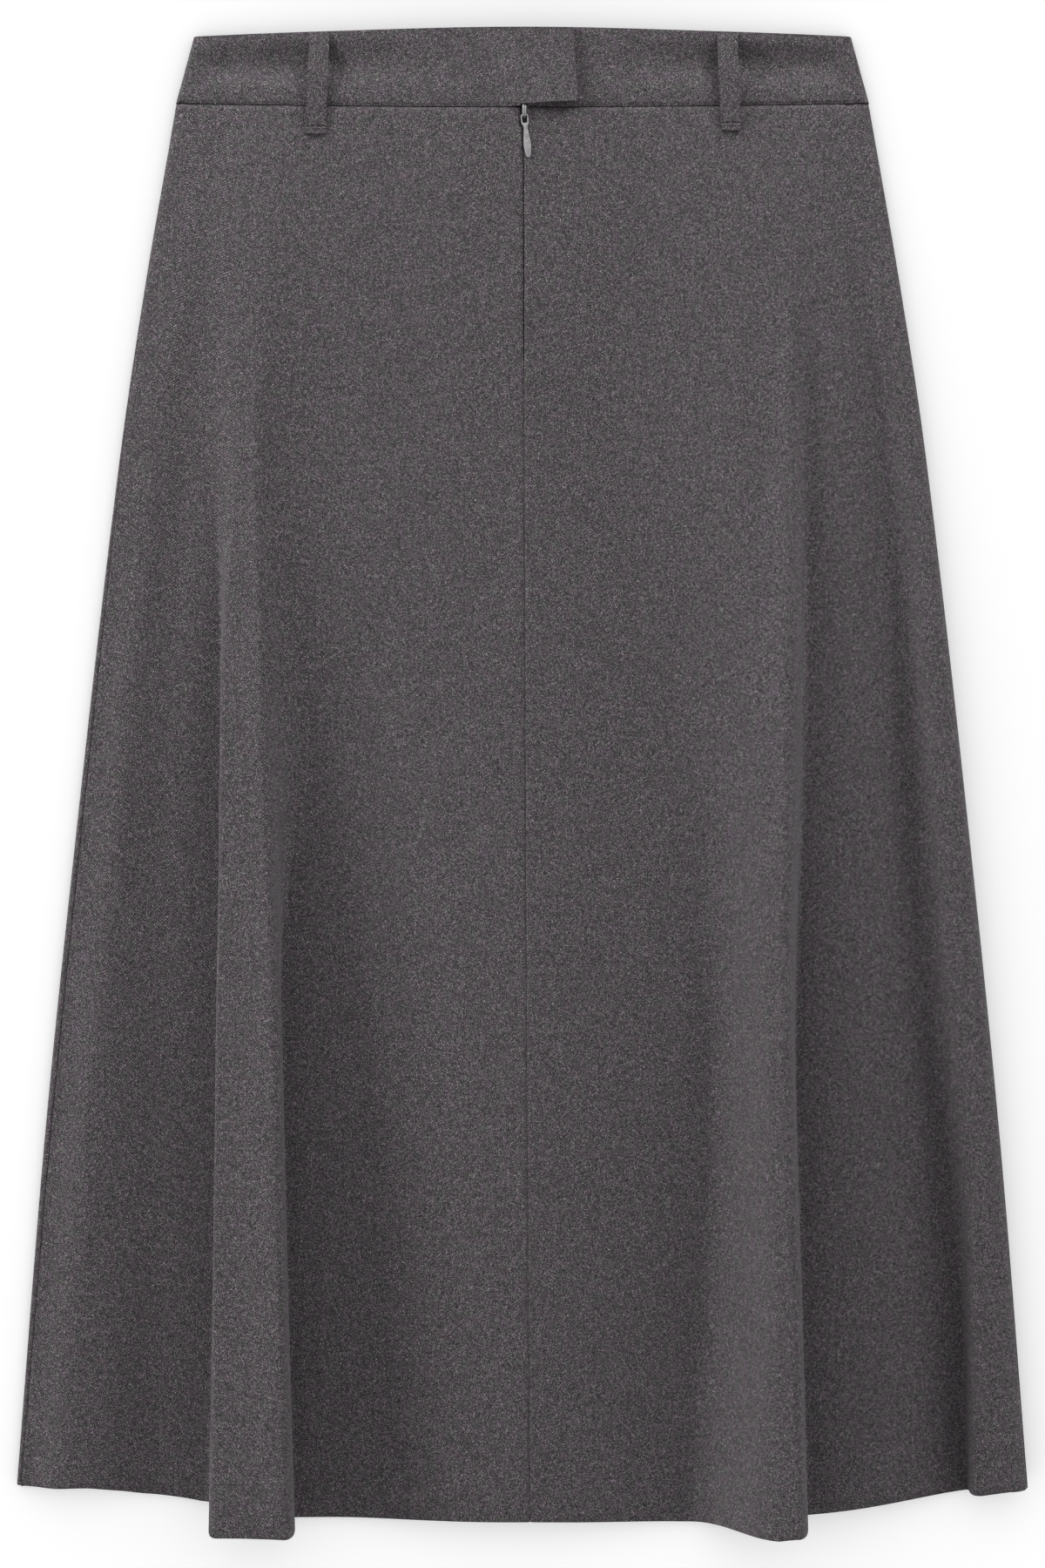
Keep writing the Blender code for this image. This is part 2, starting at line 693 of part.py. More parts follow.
def make_pull(enamel, parent):
    """The teardrop pull with its eye. Its origin is on the hinge's axis."""
    frame = zip_frame() @ Matrix.Translation((0, 0, PIVOT_Z)) @ Matrix.Rotation(PULL_TURN, 4, "Z")
    mesh = bpy.data.meshes.new("zip_pull")
    bm = bmesh.new()
    right = [Vector((row.half_width, -row.along, -PULL_THICKNESS / 2)) for row in PULL_OUTLINE]
    left = [Vector((-p.x, p.y, p.z)) for p in reversed(right)]
    face = bm.faces.new([bm.verts.new(p) for p in right + left])
    made = bmesh.ops.extrude_face_region(bm, geom=[face])
    upper = [item for item in made["geom"] if isinstance(item, bmesh.types.BMVert)]
    bmesh.ops.translate(bm, vec=(0, 0, PULL_THICKNESS), verts=upper)
    bmesh.ops.recalc_face_normals(bm, faces=bm.faces)
    bm.to_mesh(mesh)
    bm.free()
    mesh.materials.append(enamel)
    pull = bpy.data.objects.new("zip_pull", mesh)
    bpy.context.scene.collection.objects.link(pull)
    inner = EYE_HALF_WIDTH - EYE_BAR
    eye = block("eye_cutter", (-inner, EYE_BAR / 2 - EYE_LENGTH + 0.0010, -0.002), (inner, -EYE_BAR / 2, 0.002))
    eye.matrix_world = frame
    cut(pull, eye)
    round_edges(pull, 0.0002, 1)
    pull.matrix_world = frame
    pull.parent = parent


def main():
    clear_scene()
    cloth = material("wool_twill", WOOL)
    tape = material("zip_tape", TAPE)
    metal = material("slider_metal", ZINC)
    enamel = material("pull_enamel", ENAMEL)
    skirt = bpy.data.objects.new("skirt", None)
    bpy.context.scene.collection.objects.link(skirt)
    make_panels(cloth, skirt)
    make_left_band(cloth, skirt)
    make_right_band(cloth, skirt)
    make_front_band(cloth, skirt)
    make_belt_loops(cloth, skirt)
    make_zip_tape(tape, skirt)
    make_slider(metal, skirt)
    make_pull(enamel, skirt)


main()
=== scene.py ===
"""A charcoal wool skirt laid flat with its back uppermost: its cloth, its zip and the table under it.

Lengths are in metres. The waist points to +Y, the hem to -Y, and the back of the skirt faces up.
"""

import math
from collections import namedtuple
from functools import cache

import bmesh
import bpy
from bpy.props import FloatProperty, FloatVectorProperty, PointerProperty
from mathutils import Matrix, Vector, noise


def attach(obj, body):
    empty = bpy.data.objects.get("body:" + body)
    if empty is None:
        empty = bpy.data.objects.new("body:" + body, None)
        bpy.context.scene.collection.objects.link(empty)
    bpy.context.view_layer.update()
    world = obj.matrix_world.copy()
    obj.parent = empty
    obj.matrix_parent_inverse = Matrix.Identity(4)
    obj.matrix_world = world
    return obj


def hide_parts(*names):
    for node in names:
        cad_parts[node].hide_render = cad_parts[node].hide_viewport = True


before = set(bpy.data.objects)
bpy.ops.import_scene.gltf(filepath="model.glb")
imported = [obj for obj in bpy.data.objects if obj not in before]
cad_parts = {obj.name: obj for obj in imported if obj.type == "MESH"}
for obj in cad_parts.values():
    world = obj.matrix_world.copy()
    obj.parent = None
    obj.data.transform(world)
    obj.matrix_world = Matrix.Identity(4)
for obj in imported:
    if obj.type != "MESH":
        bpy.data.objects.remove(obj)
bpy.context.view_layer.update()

bl_info = {
    "name": "Laid a-line skirt",
    "version": (1, 0, 0),
    "blender": (4, 5, 0),
    "location": "3D View > Sidebar > Skirt",
    "description": "Dresses the skirt's solids in heather wool, and lays them on a pale table",
    "category": "Object",
}

# ---------------------------------------------------------------- sizes of the skirt

SEAM_GAP = 0.0003        # left open at the side seams
WAIST_SEAM_Y = 0.3728
WAIST_SEAM_SIDE = 0.0045  # how much higher the waist seam is at the sides
BAND_SIDE_GAP = 0.0006   # left open at the band's side seams
BAND_TOP_Y = 0.4164
BAND_TOP_SIDE = -0.0020  # how much higher the band's top edge is at the sides, so here it is lower
BAND_TOP_HALF = 0.1845
BAND_TURN = 0.0032       # radius of the band's turned sides
BAND_WALL = 0.0018       # of the band's solid
FRONT_WAIST_DIP = 0.0080  # how much lower the front band's top edge is than the back band's
FRONT_DIP_RAMP = 0.03    # the way from the side over which it drops
FRONT_HEM_Y = -0.4090    # of the front panel in the middle

# The back layer's outer face without its folds: its height at the sides and how far it arches above that
# in the middle, at the waist and further down, with the share of the length at which each change ends.
WAIST_REST_Z = 0.0064
REST_Z = 0.0034
REST_END = 0.25
WAIST_LOFT = 0.0086
BODY_LOFT = 0.0015
LOFT_END = 0.50

# The centre back: x of the seam at the waist, half way down and at the hem, and half the opening at the
# slider, along the zip and below it. There the two shells' edges meet and overlap by 0.1 mm.
CENTRE_SEAM_X = (0.0005, 0.0015, 0.0041)
NOTCH_HALF_GAP = 0.0019
NOTCH_LENGTH = 0.0100
NOTCH_CLOSE = 0.0020
ZIP_HALF_GAP = 0.00035
ZIP_LENGTH = 0.1440
ZIP_CLOSE = 0.0040
CLOSED_HALF_GAP = -0.00005

# The turned sides, with the seams' angles on them at the waist, half way down and at the hem.
LEFT_TURN_REACH = 0.0050
LEFT_TURN_HEIGHT = 0.0064
LEFT_SEAM_DEGREES = (0, 70, 60)
RIGHT_SEAM_DEGREES = (5, 16, 24)
TURN_SETTLES = 0.022     # the way from a turned side's top to the cloth beside it

# The hem beside the left fold: the share of its drop to the fold's foot that comes at the very end, and
# how far, where and over what part of the way it is drawn up.
HEM_CURVE = 0.28
HEM_CURVE_POWER = 6
HEM_LIFT = 0.0075
HEM_LIFT_AT = 0.27
HEM_LIFT_HALF = 0.42

# Half the skirt's width on each side, at shares of its length from the waist.
Side = namedtuple("Side", "at left right")
SIDES = (
    Side(0.000, 0.1945, 0.1945),
    Side(0.125, 0.2110, 0.2110),
    Side(0.250, 0.2254, 0.2254),
    Side(0.500, 0.2483, 0.2470),
    Side(0.750, 0.2684, 0.2664),
    Side(1.000, 0.2838, 0.2818),
)

# A standing fold: each wall's x at its foot, low down, high up and at its shoulder, the fold's rise, and
# how much lower its left shoulder is, as a share of the rise.
Fold = namedtuple(
    "Fold",
    "at left_foot left_low left_high left_shoulder"
    " right_shoulder right_high right_low right_foot rise lean",
)
LEFT_FOLD = (
    Fold(0.00, -0.1815, -0.1700, -0.1680, -0.1566, -0.1487, -0.1258, -0.1207, -0.0978, 0.0000, 0.15),
    Fold(0.25, -0.1780, -0.1680, -0.1645, -0.1560, -0.1500, -0.1440, -0.1370, -0.1100, 0.0080, 0.14),
    Fold(0.34, -0.1715, -0.1665, -0.1682, -0.1622, -0.1475, -0.1405, -0.1370, -0.1090, 0.0128, 0.14),
    Fold(0.43, -0.1705, -0.1655, -0.1712, -0.1654, -0.1460, -0.1380, -0.1370, -0.1080, 0.0175, 0.14),
    Fold(0.55, -0.1705, -0.1655, -0.1720, -0.1660, -0.1420, -0.1320, -0.1390, -0.1300, 0.0240, 0.15),
    Fold(0.65, -0.1710, -0.1645, -0.1735, -0.1670, -0.1385, -0.1275, -0.1370, -0.1360, 0.0290, 0.16),
    Fold(0.82, -0.1730, -0.1635, -0.1750, -0.1675, -0.1345, -0.1235, -0.1335, -0.1340, 0.0385, 0.15),
    Fold(1.00, -0.1800, -0.1620, -0.1800, -0.1665, -0.1300, -0.1190, -0.1290, -0.1300, 0.0450, 0.08),
)
RIGHT_FOLD = (
    Fold(0.00, 0.0500, 0.0847, 0.0923, 0.1270, 0.1450, 0.1553, 0.1587, 0.1740, 0.0000, 0.20),
    Fold(0.25, 0.0520, 0.0720, 0.0980, 0.1280, 0.1465, 0.1530, 0.1540, 0.1620, 0.0115, 0.10),
    Fold(0.45, 0.0840, 0.1080, 0.1200, 0.1340, 0.1420, 0.1540, 0.1525, 0.1590, 0.0215, 0.04),
    Fold(0.65, 0.1010, 0.1220, 0.1280, 0.1370, 0.1400, 0.1520, 0.1485, 0.1530, 0.0315, 0.02),
    Fold(0.82, 0.1000, 0.1230, 0.1300, 0.1400, 0.1440, 0.1560, 0.1525, 0.1550, 0.0380, 0.02),
    Fold(1.00, 0.0920, 0.1140, 0.1210, 0.1390, 0.1480, 0.1595, 0.1560, 0.1575, 0.0425, 0.02),
)

# The rolled right side: its inner wall's x at the crease, low down, high up and at the shoulder, how far
# it reaches out past its top, and its height.
Roll = namedtuple("Roll", "at crease low high shoulder reach height")
RIGHT_ROLL = (
    Roll(0.00, 0.1765, 0.1787, 0.1808, 0.1830, 0.0050, 0.0064),
    Roll(0.25, 0.2015, 0.2090, 0.2110, 0.2175, 0.0065, 0.0135),
    Roll(0.45, 0.2140, 0.2250, 0.2245, 0.2305, 0.0080, 0.0192),
    Roll(0.65, 0.2240, 0.2370, 0.2340, 0.2450, 0.0095, 0.0210),
    Roll(0.82, 0.2425, 0.2480, 0.2450, 0.2530, 0.0108, 0.0220),
    Roll(1.00, 0.2490, 0.2520, 0.2450, 0.2540, 0.0120, 0.0225),
)

# A low swell that runs from the waist to the hem: its middle, half width and rise.
Swell = namedtuple("Swell", "at x half_width rise")
SWELLS = (
    (
        Swell(0.00, -0.1950, 0.0300, 0.0000),
        Swell(0.25, -0.2190, 0.0340, 0.0055),
        Swell(0.45, -0.2350, 0.0400, 0.0080),
        Swell(0.65, -0.2470, 0.0470, 0.0085),
        Swell(1.00, -0.2600, 0.0560, 0.0100),
    ),
    (
        Swell(0.00, 0.0000, 0.0750, 0.0000),
        Swell(0.45, 0.0000, 0.0880, 0.0050),
        Swell(1.00, -0.0050, 0.1050, 0.0135),
    ),
    (
        Swell(0.00, 0.1700, 0.0200, 0.0000),
        Swell(0.45, 0.1690, 0.0500, 0.0120),
        Swell(1.00, 0.1760, 0.0760, 0.0125),
    ),
)

# y of the hem along the back layer. The left fold's places end in 1 and the right fold's in 2.
Hem = namedtuple(
    "Hem",
    "left_side left_foot_1 left_shoulder_1 right_shoulder_1 right_foot_1 centre"
    " left_foot_2 left_shoulder_2 right_shoulder_2 right_foot_2 crease shoulder right_side",
)
HEM = Hem(
    -0.3966, -0.4058, -0.4143, -0.4140, -0.4148, -0.4134,
    -0.4170, -0.4136, -0.4118, -0.4104, -0.3995, -0.3978, -0.3957,
)
# ---------------------------------------------------------------- sewing and softness of the cloth

SEAM_ROLL = 0.00075      # how far a panel's edge rolls down into the centre back seam
SIDE_ROLL = 0.00070      # the same along the side seams
ZIP_ROLL = 0.00045       # the same along the zip
ROLL_WIDTH = 0.0012
EDGE_STEPS = (0.0002, 0.0005, 0.0009, 0.0015, 0.0024, 0.0040)
RIM_DEGREES = 50         # a cloth edge sharper than this is rounded
WAIST_ROLL = 0.0007      # how far the panels and the band roll down into the waist seam
WAIST_ROLL_WIDTH = 0.0022
WAIST_GAP = 0.00055      # left open at the waist seam
SEAM_RIDGE = 0.00045     # the pressed seam allowance lifts the cloth beside the centre back seam
SEAM_RIDGE_HALF = 0.0140
HEM_STEPS = 5            # round the hem's fold
TURN_UP_GAP = 0.0001     # between the cloth and its turn-up

# Shares of the length at which the panels are sampled near the waist, close together round the slider.
NEAR_SLIDER = (0.0, 0.0005, 0.001, 0.0016, 0.0024, 0.004, 0.006, 0.008, 0.010, 0.0120, 0.0128, 0.0136,
               0.0144, 0.0152, 0.0165, 0.019)
NEAR_WAIST = (0.0, 0.0015, 0.01)
FINE_ROWS = 170          # below those
PLAIN_ROWS = 90          # on the front panel

# Short creases under the waistband, in the panels' x and y: the middle, half the length and half the
# width, the lean in degrees and the depth.
Crease = namedtuple("Crease", "x y half_length half_width lean depth")
CREASES = (
    Crease(-0.0850, 0.3640, 0.0110, 0.0022, 56, 0.0007),
    Crease(-0.0630, 0.3650, 0.0120, 0.0022, 50, 0.0006),
    Crease(-0.1010, 0.3600, 0.0100, 0.0030, 70, 0.0004),
    Crease(0.0900, 0.3640, 0.0110, 0.0026, 118, 0.0004),
    Crease(0.0235, 0.3708, 0.0120, 0.0034, 3, 0.0014),
)

# Slight unevenness of the laid cloth: its height, its waves for each metre across and along, and a seed.
Ripple = namedtuple("Ripple", "height across along seed")
RIPPLES = (Ripple(0.00035, 16, 7, 3.1), Ripple(0.000175, 34, 15, 8.7))
RIPPLES_START = 0.03     # below the waist seam


# ---------------------------------------------------------------- settings


class SkirtSettings(bpy.types.PropertyGroup):
    """Sizes and colours of the skirt."""

    cloth: FloatProperty(
        name="Cloth", description="Thickness of the wool", default=0.0007, unit="LENGTH"
    )
    hem_depth: FloatProperty(
        name="Hem", description="Depth of the hem's turn-up", default=0.033, unit="LENGTH"
    )
    wool: FloatVectorProperty(
        name="Wool", description="Mean colour of the wool", subtype="COLOR", size=3,
        default=(0.0288, 0.0260, 0.0280),
    )
    yarn: FloatProperty(
        name="Yarn", description="Distance between two yarns", default=0.00048, unit="LENGTH"
    )
    fleck: FloatProperty(
        name="Flecks", description="Contrast from one crossing of the yarns to the next", default=1.45
    )
    fuzz: FloatProperty(name="Fuzz", description="Contrast of the loose fibres", default=2.8)
    twill: FloatProperty(name="Twill", description="Contrast of the twill lines", default=1.10)
    cloud: FloatProperty(name="Clouds", description="Contrast of the wider patches", default=0.95)
    tape: FloatVectorProperty(
        name="Tape", description="Colour of the zip's tape and coil", subtype="COLOR", size=3,
        default=(0.016, 0.015, 0.017),
    )
    slider: FloatVectorProperty(
        name="Slider", description="Colour of the slider", subtype="COLOR", size=3,
        default=(0.250, 0.250, 0.255),
    )
    pull: FloatVectorProperty(
        name="Pull", description="Colour of the pull", subtype="COLOR", size=3,
        default=(0.187, 0.181, 0.186),
    )


class StageSettings(bpy.types.PropertyGroup):
    """The table, the lights and the camera."""

    table: FloatVectorProperty(
        name="Table", description="Colour of the table", subtype="COLOR", size=3, default=(0.97, 0.97, 0.97)
    )
    glow: FloatProperty(
        name="Glow", description="Strength of the light from below the table's white top", default=0.16
    )
    room: FloatProperty(name="Room", description="Strength of the even light", default=0.885)
    left_light: FloatProperty(
        name="Left", description="Power of the light at the upper left", default=98.0, unit="POWER"
    )
    right_light: FloatProperty(
        name="Right", description="Power of the light at the upper right", default=72.0, unit="POWER"
    )
    distance: FloatProperty(
        name="Camera", description="Height of the camera above the table", default=1.4, unit="LENGTH"
    )
    lens: FloatProperty(name="Lens", description="Focal length", default=57.14, unit="CAMERA")


# ---------------------------------------------------------------- shape of the laid cloth


def smooth(t):
    """0 to 1 with level ends."""
    t = min(1.0, max(0.0, t))
    return t * t * (3 - 2 * t)


def mix(a, b, t):
    return a + (b - a) * t


def spread(start, end, count):
    """Even steps from start to end, without start itself."""
    return [mix(start, end, n / count) for n in range(1, count + 1)]


def bell(t):
    """1 at 0, level there, and 0 from 1 on."""
    return (1 - t * t) ** 2 if abs(t) < 1 else 0.0


def through(stations, at):
    """The parabola through values at the waist, half way down and at the hem."""
    waist, middle, hem = stations
    return waist * (1 - at) * (1 - 2 * at) + 4 * middle * at * (1 - at) + hem * at * (2 * at - 1)


def between(table, at):
    """A table's row at a share of the length: a smooth curve through every column."""
    last = len(table) - 1
    i = next((n for n in range(last) if at <= table[n + 1].at), last - 1)
    rows = [table[max(0, min(last, n))] for n in (i - 1, i, i + 1, i + 2)]
    x0, x1, x2, x3 = (row.at for row in rows)
    t = (at - x1) / (x2 - x1)
    columns = []
    for y0, y1, y2, y3 in zip(*rows):
        slope_1 = (y2 - y0) / (x2 - x0) * (x2 - x1)
        slope_2 = (y3 - y1) / (x3 - x1) * (x2 - x1)
        start = y1 * (1 + 2 * t) * (1 - t) ** 2 + slope_1 * t * (1 - t) ** 2
        columns.append(start + y2 * t * t * (3 - 2 * t) + slope_2 * t * t * (t - 1))
    return type(table[0])(*columns)


Section = namedtuple("Section", "sides left_fold right_fold roll swells")


@cache
def section(at):
    """The rows of every table at a share of the length."""
    tables = (SIDES, LEFT_FOLD, RIGHT_FOLD, RIGHT_ROLL)
    return Section(*(between(table, at) for table in tables), [between(table, at) for table in SWELLS])


def outline(at, side):
    """Half the skirt's width on that side."""
    return getattr(section(at).sides, side)


def base_height(x, at):
    """Outer face of the back layer without its folds."""
    half = outline(at, "left" if x < 0 else "right")
    rest = mix(WAIST_REST_Z, REST_Z, smooth(at / REST_END))
    loft = mix(WAIST_LOFT, BODY_LOFT, smooth(at / LOFT_END))
    height = rest + loft * max(0.0, 1 - (x / (half - LEFT_TURN_REACH)) ** 2)
    for swell in section(at).swells:
        height += swell.rise * bell((x - swell.x) / swell.half_width)
    return height


def bezier(a, b, c, d, t):
    s = 1 - t
    return a * s**3 + 3 * b * s * s * t + 3 * c * s * t * t + d * t**3


def rising(foot, low, high, shoulder, rise, hem_foot, hem_shoulder, at):
    """The wall between a fold's foot and its shoulder, as a function of a share from the foot."""

    def point(t):
        x = bezier(foot, low, high, shoulder, t)
        return x, base_height(x, at) + rise * smooth(t), mix(hem_foot, hem_shoulder, smooth(t))

    return point


def backwards(point):
    """The same span walked from its other end."""
    return lambda t: point(1 - t)


def left_wall(fold, hem_foot, hem_shoulder, at):
    """The fold's left wall, from its foot to its shoulder."""
    return rising(*fold[1:5], fold.rise * (1 - fold.lean), hem_foot, hem_shoulder, at)


def right_wall(fold, hem_foot, hem_shoulder, at):
    """The fold's right wall, from its shoulder to its foot."""
    return backwards(rising(*fold[8:4:-1], fold.rise, hem_foot, hem_shoulder, at))


def crest(fold, hem_start, hem_end, at):
    """The top of a fold, which climbs from its left shoulder to its right one."""

    def point(t):
        x = mix(fold.left_shoulder, fold.right_shoulder, t)
        arch = 1 - fold.lean * (1 - t * t)
        return x, base_height(x, at) + fold.rise * arch, mix(hem_start, hem_end, t)

    return point


def plain(start, end, hem_start, hem_end, at):
    """Cloth that lies between two folds."""

    def point(t):
        x = mix(start, end, t)
        return x, base_height(x, at), mix(hem_start, hem_end, t)

    return point


def from_turn(top_x, top_z, x, hem_top, hem_x, at):
    """Cloth that settles from the top of a turned side on to the base surface at x."""

    def point(t):
        place = mix(top_x, x, t)
        settled = smooth(abs(place - top_x) / TURN_SETTLES)
        hem_y = mix(hem_top, hem_x, mix(t, t**HEM_CURVE_POWER, HEM_CURVE))
        hem_y += HEM_LIFT * t * bell((t - HEM_LIFT_AT) / HEM_LIFT_HALF)
        return place, mix(top_z, base_height(place, at), settled), hem_y

    return point


def turn(centre_x, reach, height, sign, seam_degrees, end_degrees, hem_y):
    """Part of a turned side: half an ellipse that is height tall and reaches out from centre_x."""

    def point(t):
        angle = math.radians(mix(seam_degrees, end_degrees, t))
        x = centre_x + sign * reach * math.cos(angle)
        return x, height / 2 * (1 + math.sin(angle)), hem_y

    return point


def centre_seam(at):
    return through(CENTRE_SEAM_X, at)


def seam_half_gap(drop):
    """Half the opening at the centre back seam, at a distance below the waist seam."""
    if drop < NOTCH_LENGTH + NOTCH_CLOSE:
        return mix(NOTCH_HALF_GAP, ZIP_HALF_GAP, smooth((drop - NOTCH_LENGTH) / NOTCH_CLOSE))
    return mix(ZIP_HALF_GAP, CLOSED_HALF_GAP, smooth((drop - ZIP_LENGTH + ZIP_CLOSE) / ZIP_CLOSE))


def seam_drop(at):
    return at * (WAIST_SEAM_Y - HEM.centre)


def seam_angle(reach, height):
    """Half a seam's gap as degrees on a turned side."""
    return math.degrees(SEAM_GAP / 2 / ((reach + height / 2) / 2))


# Each of these gives the spans of a section in order, with the shape, the number of steps and the end
# at which the span meets a seam.


def left_back_spans(at):
    """The back left panel's section, from the side seam to the centre back."""
    fold = section(at).left_fold
    reach, height = LEFT_TURN_REACH, LEFT_TURN_HEIGHT
    top_x = reach - outline(at, "left")
    seam = through(LEFT_SEAM_DEGREES, at) + seam_angle(reach, height)
    end = centre_seam(at) - seam_half_gap(seam_drop(at))
    return (
        (turn(top_x, reach, height, -1, seam, 90, HEM.left_side), 4, "start"),
        (from_turn(top_x, height, fold.left_foot, HEM.left_side, HEM.left_foot_1, at), 22, ""),
        (left_wall(fold, HEM.left_foot_1, HEM.left_shoulder_1, at), 26, ""),
        (crest(fold, HEM.left_shoulder_1, HEM.right_shoulder_1, at), 12, ""),
        (right_wall(fold, HEM.right_foot_1, HEM.right_shoulder_1, at), 26, ""),
        (plain(fold.right_foot, end, HEM.right_foot_1, HEM.centre, at), 36, "end"),
    )


def right_back_spans(at):
    """The back right panel's section, from the centre back to the side seam."""
    fold, roll = section(at).right_fold, section(at).roll
    top_x = outline(at, "right") - roll.reach
    seam = through(RIGHT_SEAM_DEGREES, at) + seam_angle(roll.reach, roll.height)
    start = centre_seam(at) + seam_half_gap(seam_drop(at))
    crease_z = base_height(roll.crease, at)
    lift = roll.height - crease_z

    def roll_wall(t):
        x = bezier(*roll[1:5], t)
        return x, crease_z + lift * smooth(t), mix(HEM.crease, HEM.shoulder, smooth(t))

    def roll_crest(t):
        return mix(roll.shoulder, top_x, t), roll.height, mix(HEM.shoulder, HEM.right_side, t)

    return (
        (plain(start, fold.left_foot, HEM.centre, HEM.left_foot_2, at), 26, "start"),
        (left_wall(fold, HEM.left_foot_2, HEM.left_shoulder_2, at), 28, ""),
        (crest(fold, HEM.left_shoulder_2, HEM.right_shoulder_2, at), 12, ""),
        (right_wall(fold, HEM.right_foot_2, HEM.right_shoulder_2, at), 24, ""),
        (plain(fold.right_foot, roll.crease, HEM.right_foot_2, HEM.crease, at), 22, ""),
        (roll_wall, 18, ""),
        (roll_crest, 5, ""),
        (backwards(turn(top_x, roll.reach, roll.height, 1, seam, 90, HEM.right_side)), 10, "end"),
    )


def front_spans(at):
    """The front panel's section, from the right side seam under the skirt to the left one."""
    roll = section(at).roll
    reach, height = LEFT_TURN_REACH, LEFT_TURN_HEIGHT
    right_x = outline(at, "right") - roll.reach
    left_x = reach - outline(at, "left")
    right_seam = through(RIGHT_SEAM_DEGREES, at) - seam_angle(roll.reach, roll.height)
    left_seam = through(LEFT_SEAM_DEGREES, at) - seam_angle(reach, height)

    def flat(t):
        x = mix(right_x, left_x, t)
        side = max(x / right_x, x / left_x)
        hem_side = HEM.right_side if x > 0 else HEM.left_side
        return x, 0.0, mix(FRONT_HEM_Y, hem_side, side * side)

    return (
        (turn(right_x, roll.reach, roll.height, 1, right_seam, -90, HEM.right_side), 12, "start"),
        (flat, 40, ""),
        (backwards(turn(left_x, reach, height, -1, left_seam, -90, HEM.left_side)), 12, "end"),
    )


def shares(point, steps, edge):
    """Where a span is sampled. Its seam edge gets short steps, whose lengths are EDGE_STEPS."""
    if not edge:
        return [n / steps for n in range(steps + 1)]
    (x0, z0, _), (x1, z1, _) = point(0.0), point(1.0)
    length = max(math.hypot(x1 - x0, z1 - z0), 2 * EDGE_STEPS[-1])
    near = [0.0] + [step / length for step in EDGE_STEPS]
    found = near + spread(near[-1], 1.0, steps)
    return found if edge == "start" else [1 - t for t in reversed(found)]


def walk(spans):
    """A section's points: every span's samples, with shared ends given once."""
    points = []
    for point, steps, edge in spans:
        samples = [point(t) for t in shares(point, steps, edge)]
        points += samples[1:] if points else samples
    return points


def seam_y(x, at):
    """The waist seam's y, a shallow curve that is lowest at the centre."""
    half = outline(at, "left" if x < 0 else "right")
    return WAIST_SEAM_Y + WAIST_SEAM_SIDE * (x / half) ** 2


def relief(x, y):
    """Small uneven forms of the laid back layer: pressed seam, creases and ripples."""
    at = min(1.0, max(0.0, (WAIST_SEAM_Y - y) / (WAIST_SEAM_Y - HEM.centre)))
    rise = SEAM_RIDGE * bell((x - centre_seam(at)) / SEAM_RIDGE_HALF)
    for crease in CREASES:
        lean = math.radians(crease.lean)
        dx, dy = x - crease.x, y - crease.y
        along = dx * math.cos(lean) + dy * math.sin(lean)
        across = dy * math.cos(lean) - dx * math.sin(lean)
        rise -= crease.depth * bell(along / crease.half_length) * bell(across / crease.half_width)
    fade = smooth((WAIST_SEAM_Y - y) / RIPPLES_START)
    for ripple in RIPPLES:
        place = Vector((x * ripple.across, y * ripple.along, ripple.seed))
        rise += fade * ripple.height * noise.noise(place)
    return rise


# ---------------------------------------------------------------- cloth as a mesh


def cloth_grid(name, rows, wall, material, uvs, rim=0.0):
    """A cloth piece: a grid laid on rows of points, with its UVs in metres, thickened inwards."""
    mesh = bpy.data.meshes.new(name)
    bm = bmesh.new()
    across, down = len(rows[0]) - 1, len(rows) - 1
    bmesh.ops.create_grid(bm, x_segments=across, y_segments=down, size=0.5)
    layer = bm.loops.layers.uv.new("cloth")
    place = {}
    for vert in bm.verts:
        row, column = round((0.5 - vert.co.y) * down), round((vert.co.x + 0.5) * across)
        place[vert] = row, column
        vert.co = rows[row][column]
    for face in bm.faces:
        face.smooth = True
        for loop in face.loops:
            row, column = place[loop.vert]
            loop[layer].uv = uvs[row][column]
    bm.to_mesh(mesh)
    bm.free()
    mesh.materials.append(material)
    obj = bpy.data.objects.new(name, mesh)
    bpy.context.scene.collection.objects.link(obj)
    thick = obj.modifiers.new("wall", "SOLIDIFY")
    thick.thickness = wall
    thick.offset = -1
    thick.use_even_offset = rim > 0
    thick.use_quality_normals = True
    if rim:
        edge = obj.modifiers.new("edge", "BEVEL")
        edge.width = rim
        edge.segments = 3
        edge.limit_method = "ANGLE"
        edge.angle_limit = math.radians(RIM_DEGREES)
        edge.harden_normals = True
    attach(obj, "skirt")
    return obj


def grid_uvs(rows, anchor, hem_row):
    """UVs in metres along the cloth: u from the anchor column, and v up from the hem's fold."""
    heights = [[0.0] * len(rows[0]) for _ in rows]
    for column in range(len(rows[0])):
        for row in range(hem_row - 1, -1, -1):
            step = (rows[row][column] - rows[row + 1][column]).length
            heights[row][column] = heights[row + 1][column] + step
        for row in range(hem_row + 1, len(rows)):
            step = (rows[row][column] - rows[row - 1][column]).length
            heights[row][column] = heights[row - 1][column] - step
    uvs = []
    for row, points in enumerate(rows):
        along = [0.0]
        for a, b in zip(points, points[1:]):
            along.append(along[-1] + (b - a).length)
        uvs.append([(u - along[anchor], heights[row][column]) for column, u in enumerate(along)])
    return uvs


def inward(rows, row, column):
    """The direction into the cloth at a grid point."""
    last_row, last_column = len(rows) - 1, len(rows[0]) - 1
    down = rows[min(row + 1, last_row)][column] - rows[max(row - 1, 0)][column]
    across = rows[row][min(column + 1, last_column)] - rows[row][max(column - 1, 0)]
    return down.cross(across).normalized() * -1


